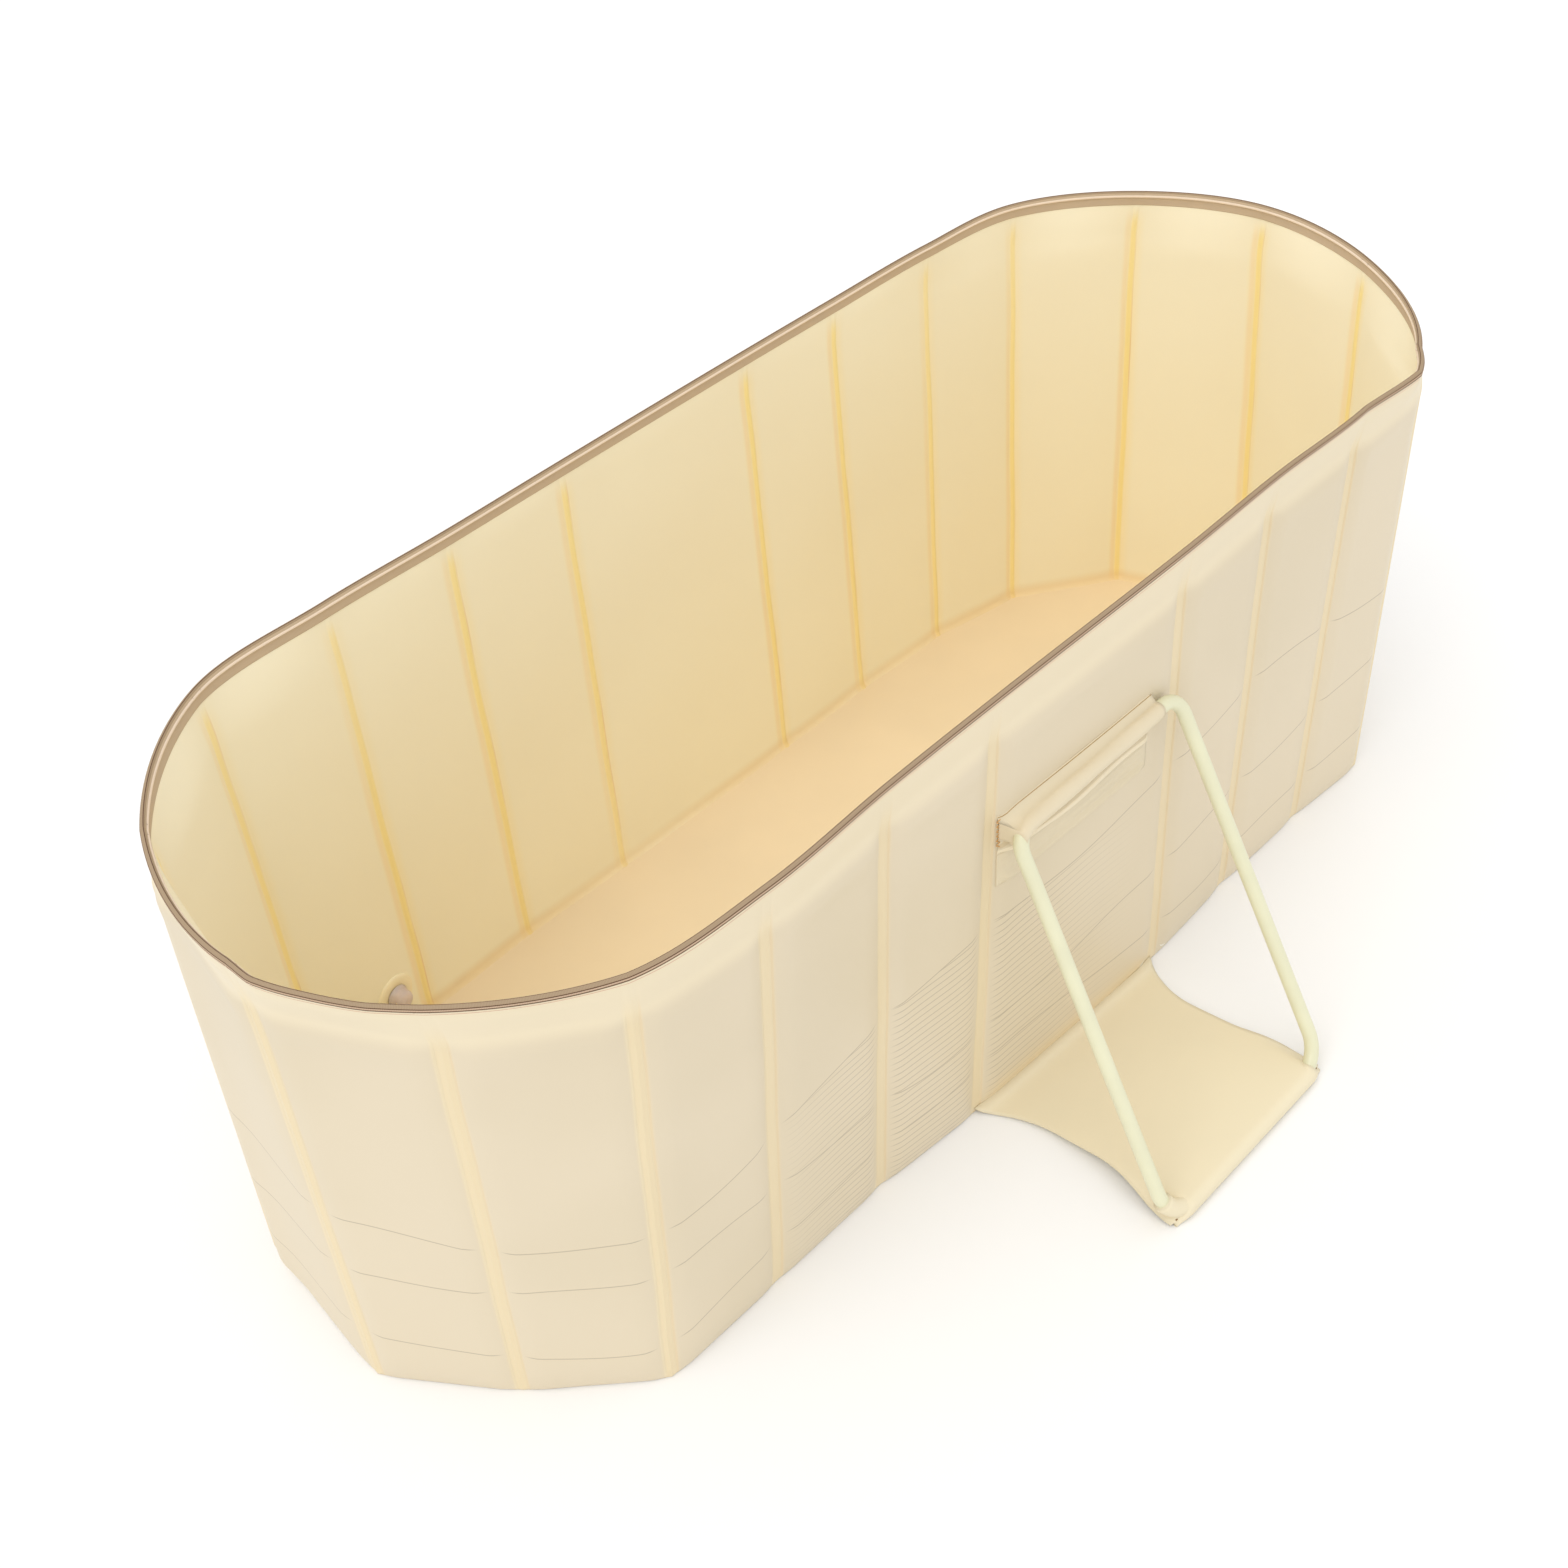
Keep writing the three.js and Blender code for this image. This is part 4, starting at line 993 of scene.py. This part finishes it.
def sleeve_profile(wall, x):
    """The sleeve's outer line at x, as (distance out, height), from the upper weld to the lower one."""
    bend = max(0.0, min(abs(x), -SLEEVE_CLOSES) - (TOP_HALF - TOP_CORNER))
    reach = TOP_CORNER + SLEEVE_RADIUS
    drop = reach - math.sqrt(max(reach**2 - bend**2, 0.0))
    out, high = LOOP_OUT - DOWN[1] * drop, LOOP_HINGE + DOWN[2] * drop
    slide = min(drop, WELD_SINK)
    line = [(wall_out(wall, x, z - slide) + rise, z - slide) for z, rise in UPPER_WELD]
    for angle in SLEEVE_ANGLES:
        radius = SLEEVE_RADIUS + SLEEVE_WAVE * math.sin(60 * x + 3 * angle)
        line.append((out + radius * math.cos(angle), high + radius * math.sin(angle)))
    ends = blend_step((abs(x - 0.5 * (SLEEVE_LEFT + SLEEVE_RIGHT)) - FOLD_HALF) / FOLD_FADE)
    edge = blend_step((PATCH_INSET - min(x - SLEEVE_LEFT, SLEEVE_RIGHT - x)) / PATCH_INSET)
    for z, rise in PATCH:
        sunk = z - min(drop, PATCH_SINK) * blend_step((z - SINK_FROM) / SINK_WIDTH)
        soft = 1 + FOLD_UNEVEN * math.sin(38 * x + 60 * z) if z > UNEVEN_FROM else 1
        rise = PATCH_RISE + (rise - PATCH_RISE) * soft * (1 - ends) * (z < FOLD_TOP)
        # At its side edges the patch lies down into the wall.
        rise -= PATCH_EDGE * edge * (z < EDGES_BELOW)
        line.append((wall_out(wall, x, sunk) + rise, sunk))
    line = np.array(line)
    # Past the tube's bend the film comes down to the wall, where it is stitched.
    closed = blend_step((SLEEVE_CLOSES - x) / (SLEEVE_CLOSES - SLEEVE_LEFT))
    if closed > 0:
        wall_line = np.array([wall_out(wall, x, z) + CLOSED_RISE for z in line[:, 1]])
        line[:, 0] = wall_line + (line[:, 0] - wall_line) * (1 - closed)
    return line


def sleeve_object(wall):
    """One film from the upper weld over the tube and down to the patch's lower weld."""
    rows = []
    for x in SLEEVE_XS:
        outer = sleeve_profile(wall, x)
        ahead = unit(np.gradient(outer, axis=0))
        inner = outer + SLEEVE_FILM * np.column_stack([ahead[:, 1], -ahead[:, 0]])
        rows.append(mirror_points([(x, -out, z) for out, z in [*outer, *inner[::-1]]], wall))
    materials = [outer_patch, weld_brown_and_shade, patch_crease_shade, patch_fold_highlight]
    sleeve = grid_object(wall + "_stand_sleeve_film", rows, materials, ring=True)
    around = len(rows[0])
    for k, polygon in enumerate(sleeve.data.polygons):
        if k < (len(rows) - 1) * around:
            polygon.material_index = SLEEVE_FACES.get(k % around, 0)
        else:
            polygon.use_smooth = False
    return sleeve


def flap_half(depth, width):
    """Half the flap's width, this far out from the wall's foot."""
    fall = min(1.0, depth / FLAP_WAIST)
    half = FLAP_FOOT_HALF + (FLAP_WAIST_HALF - FLAP_FOOT_HALF) * (1 - (1 - fall) ** WAIST_CURVE)
    corner = blend_step((depth / width - WIDENS_FROM) / (1 - WIDENS_FROM))
    return half + (FLAP_CORNER_HALF - FLAP_WAIST_HALF) * corner


def flap_height(depth, width, x, u):
    """How high the flap is above the floor."""
    t = depth / width
    flat = blend_step((abs(x) - FLAT_FROM) / FLAT_WIDTH)
    drop = CORNER_DROP * flat * blend_step((t - DROP_FROM) / (1 - DROP_FROM))
    rise = FLAP_RISE + FLAP_CLIMB * blend_step(t) * (1 - drop)
    crease = sum(CREASE_DEPTH * math.exp(-(((depth - at) / CREASE_WIDTH) ** 2)) for at in CREASES)
    curl = CURL_UP * math.exp(-depth / CURL_WIDTH)
    sag = FLAP_SAG * math.sin(3.1 * u + 2 * t) * math.sin(math.pi * t) ** 2
    return rise + curl - crease + sag


def flap_object(wall, width):
    """The film drawn tight from the wall's foot over the hem's top and round to its outer side."""
    places = np.linspace(-1, 1, FLAP_COLUMNS)
    rows = []
    for t in np.linspace(0, 1, FLAP_STEPS):
        row = []
        for u in places:
            x = flap_half(t * width, width) * u
            foot = wall_out(wall, x, FLAP_FOOT_HEIGHT)
            row.append((x, -(foot + (FOOT_OUT - foot) * t), flap_height(t * width, width, x, u)))
        rows.append(row)
    radius = HEM_RADIUS + WRAP_GAP
    for angle in np.radians(WRAP_ANGLES):
        row = []
        for u in places:
            x = FLAP_CORNER_HALF * u
            flat = blend_step((abs(x) - FLAT_FROM) / FLAT_WIDTH)
            out = FOOT_OUT + radius * math.cos(angle) * (1 - WRAP_NARROW * flat)
            high = (FOOT_HEIGHT + WRAP_UP + radius * math.sin(angle)) * (1 - WRAP_LOW * flat)
            row.append((x - WRAP_DRAWN_IN * flat * math.copysign(1, u), -out, max(WRAP_LEAST, high)))
        rows.append(row)
    rows = [mirror_points(row, wall) for row in rows]
    flap = grid_object(wall + "_stand_flap_film", rows, [flap_film, hem_edge])
    for k, polygon in enumerate(flap.data.polygons):
        if k // (FLAP_COLUMNS - 1) >= FLAP_STEPS - 1 + WRAP_PLAIN:
            polygon.material_index = 1
    thickness = add_thickness(flap, FLAP_THICKNESS)
    bpy.context.view_layer.objects.active = flap
    with bpy.context.temp_override(object=flap):
        bpy.ops.object.modifier_apply(modifier=thickness.name)
    return flap


def hem_object(wall, path, centres):
    """The inner turn of the film round the foot tube and up over its bends."""
    along = [centre for centre, (x, s) in zip(centres, path) if s > LEG - HEM_UP and x < HEM_RIGHT]
    last = len(along) - 1
    radii = [HEM_RADIUS + HEM_TURN * (min(i, last - i) < 2) for i in range(last + 1)]
    hem = tube(wall + "_stand_hem_film", along, radii, flap_film, squeeze=on_floor)
    if wall == "far":
        hem.data.transform(Matrix.Rotation(math.pi, 4, "Z"))
    return hem


def sleeve_thread(wall):
    """A zigzag of thread that holds the sleeve's closed end on the wall."""
    turns = []
    for k, z in enumerate(THREAD_HEIGHTS):
        x = SLEEVE_LEFT + THREAD_IN - THREAD_ZIG * (k % 2)
        turns.append(np.array([x, -(wall_out(wall, x, z) + THREAD_OUT), z]))
    thread = [a + (b - a) * t for a, b in zip(turns, turns[1:]) for t in (0, 0.5)] + [turns[-1]]
    points = mirror_points(thread, wall)
    return tube(wall + "_stand_sleeve_thread", points, THREAD_RADIUS, stitch_orange, sides=6)


def hem_stitches(wall, side):
    """Stitches that close the hem at one of its corners."""
    verts, faces = [], []
    for share in np.arange(STITCHES) / (STITCHES - 1):
        x = side * (FLAP_CORNER_HALF - STITCH_IN - STITCH_LEAN * share)
        centre = np.array([x, -(FOOT_OUT - STITCH_START + STITCH_RUN * share), STITCH_HEIGHT])
        first = len(verts)
        for corner in range(8):
            signs = [1 if corner & bit else -1 for bit in (1, 2, 4)]
            verts.append(tuple(centre + STITCH_HALF * signs))
        for quad in ((0, 2, 3, 1), (4, 5, 7, 6), (0, 1, 5, 4), (2, 6, 7, 3), (0, 4, 6, 2), (1, 3, 7, 5)):
            faces.append(tuple(first + q for q in quad))
    name = f"{wall}_stand_stitches_{'left' if side < 0 else 'right'}"
    return new_object(name, mirror_points(verts, wall), faces, stitch_brown, smooth_shading=False)


for wall, sign in WALL_SIGN.items():
    stand = wall + "_stand"
    path = loop_path()
    centres = [np.array([x, -LOOP_OUT, LOOP_HINGE]) + DOWN * s for x, s in path]
    loop = tube(stand + "_tube", mirror_points(centres, wall), TUBE_RADIUS, tube_paint, closed=True)
    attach(loop, stand)
    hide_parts(stand + "_loop")

    sleeve = sleeve_object(wall)
    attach(sleeve, wall + "_wall")
    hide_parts(stand + "_sleeve")

    width = FOOT_OUT - wall_out(wall, 0, FLAP_FOOT_HEIGHT)
    flap = flap_object(wall, width)
    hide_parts(stand + "_flap")
    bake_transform(flap)

    hem = hem_object(wall, path, centres)
    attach(hem, stand)
    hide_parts(stand + "_hem")

    zigzag = sleeve_thread(wall)
    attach(zigzag, wall + "_wall")

    for side in (-1, 1):
        stitches = hem_stitches(wall, side)
        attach(stitches, stand)

# Drain: fitting and plug, turned about an axis through the wall, and moved with the film.
DRAIN_FROM_SEAM, DRAIN_HEIGHT = 0.038, 0.062
DRAIN_SHARE = DRAIN_FROM_SEAM / panel_length[DRAIN_PANEL]
plan, outward = ring_plan([DRAIN_PANEL], [DRAIN_SHARE], [DRAIN_HEIGHT])
drain_out = np.array([*outward[0], 0.0])
drain_up = np.array([0.0, 0.0, 1.0])
drain_side = np.cross(drain_out, drain_up)
drain_centre = np.array([*plan[0], DRAIN_HEIGHT])


def turned(name, outline, material):
    """A turned piece: a line of (radius, distance out of the fold line) round the drain's axis."""
    rows = []
    for angle in np.linspace(0, 2 * math.pi, 49):
        spoke = drain_side * math.cos(angle) + drain_up * math.sin(angle)
        rows.append([tuple(drain_centre + drain_out * d + spoke * r) for r, d in outline])
    obj = grid_object(name, rows, material)
    merge_points(obj, 1e-6)
    return obj


FITTING = [
    (0.0090, -0.0040), (0.0095, -0.0046), (0.0200, -0.0044), (0.0225, -0.0040), (0.0240, -0.0030),
    (0.0244, -0.0018), (0.0244, -0.0008), (0.0120, -0.0008), (0.0120, 0.0210), (0.0134, 0.0214),
    (0.0136, 0.0222), (0.0120, 0.0268), (0.0134, 0.0272), (0.0136, 0.0280), (0.0120, 0.0328),
    (0.0112, 0.0332), (0.0092, 0.0332), (0.0090, 0.0326), (0.0090, -0.0040),
]
PLUG = [
    (0.0, -0.0200), (0.0040, -0.0198), (0.0074, -0.0190), (0.0096, -0.0174), (0.0106, -0.0150),
    (0.0110, -0.0110), (0.0116, -0.0078), (0.0132, -0.0062), (0.0132, -0.0049), (0.0086, -0.0047),
    (0.0085, 0.0050), (0.0078, 0.0064), (0.0, 0.0066),
]
TAB_LENGTH, TAB_HALF, TAB_THICK, TAB_OUT, TAB_START = 0.032, 0.0052, 0.0017, 0.0130, 0.006
TAB_ARCH, TAB_DROP, TAB_ROUND_FROM = 0.0042, 0.004, 0.62


def pull_tab():
    """A rounded strap that stands off the plug's head and leans to the side."""
    rows = []
    for t in np.linspace(0, 1, 15):
        rounding = max(0.0, (t - TAB_ROUND_FROM) / (1 - TAB_ROUND_FROM))
        half = TAB_HALF * math.sqrt(max(0.02, 1 - rounding**2)) * (0.8 + 0.2 * t)
        centre = drain_centre - drain_out * (TAB_OUT + TAB_ARCH * math.sin(2.2 * t))
        centre = centre - drain_side * (TAB_START + TAB_LENGTH * t) - drain_up * TAB_DROP * t
        angles = [2 * math.pi * step / 16 for step in range(16)]
        across = [drain_up * half * math.cos(a) - drain_out * TAB_THICK * math.sin(a) for a in angles]
        rows.append([tuple(centre + spot) for spot in across])
    return grid_object("drain_pull_tab", rows, yellow_plastic, ring=True)


fitting = turned("drain_flange", FITTING, pale_plastic)
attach(fitting, "far_wall")
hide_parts("drain_fitting")
plug = turned("drain_stopper", PLUG, clear_plastic)
tab = pull_tab()
for piece in (plug, tab):
    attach(piece, "drain_plug")
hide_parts("drain_plug")

# Camera, as the photo was taken: the focal length is in pixels of a picture this wide.
PICTURE_WIDTH, FOCAL_LENGTH = 1568, 2171.9
CAMERA_PLACE = (-1.2084, -1.1144, 1.7140)
AZIMUTH, ELEVATION, ROLL = math.radians(-44.397), math.radians(42.526), math.radians(-4.559)
camera_data = bpy.data.cameras.new("camera")
camera_data.sensor_width = 36
camera_data.lens = FOCAL_LENGTH / PICTURE_WIDTH * camera_data.sensor_width
camera_data.clip_end = 100
camera = bpy.data.objects.new("camera", camera_data)
bpy.context.scene.collection.objects.link(camera)
aside, forth = math.sin(AZIMUTH), -math.cos(AZIMUTH)
back = Vector((aside * math.cos(ELEVATION), forth * math.cos(ELEVATION), math.sin(ELEVATION)))
level = Vector((0, 0, 1)).cross(back).normalized()
upright = back.cross(level)
across = level * math.cos(ROLL) + upright * math.sin(ROLL)
upright = back.cross(across)
turn = Matrix((across, upright, back)).transposed()
camera.matrix_world = Matrix.Translation(CAMERA_PLACE) @ turn.to_4x4()
bpy.context.scene.camera = camera

# Floor and light. The light comes from a wide sun and an even sky.
GROUND_SIZE, GROUND_HEIGHT, GROUND_GREY = 40, -0.0005, 0.93
SUN_STRENGTH, SUN_SPREAD, SUN_FROM = 0.85, 50, (-0.47, -0.15, 0.87)
SKY_STRENGTH = 0.95
bpy.ops.mesh.primitive_plane_add(size=GROUND_SIZE, location=(0, 0, GROUND_HEIGHT))
ground = bpy.context.object
ground.name = "ground"
ground.data.materials.append(Shader("ground", 0.9, 0.0, (GROUND_GREY,) * 3 + (1,)).material)

sun_data = bpy.data.lights.new("sun", "SUN")
sun_data.energy = SUN_STRENGTH
sun_data.angle = math.radians(SUN_SPREAD)
sun = bpy.data.objects.new("sun", sun_data)
bpy.context.scene.collection.objects.link(sun)
sun.rotation_mode = "QUATERNION"
sun.rotation_quaternion = Vector(SUN_FROM).to_track_quat("Z", "Y")

world = bpy.data.worlds.new("world")
bpy.context.scene.world = world
world.use_nodes = True
tree = world.node_tree
tree.nodes.clear()
output = tree.nodes.new("ShaderNodeOutputWorld")
background = tree.nodes.new("ShaderNodeBackground")
background.inputs["Color"].default_value = (1, 1, 1, 1)
background.inputs["Strength"].default_value = SKY_STRENGTH
tree.links.new(background.outputs[0], output.inputs[0])
bpy.context.scene.view_settings.view_transform = "Standard"
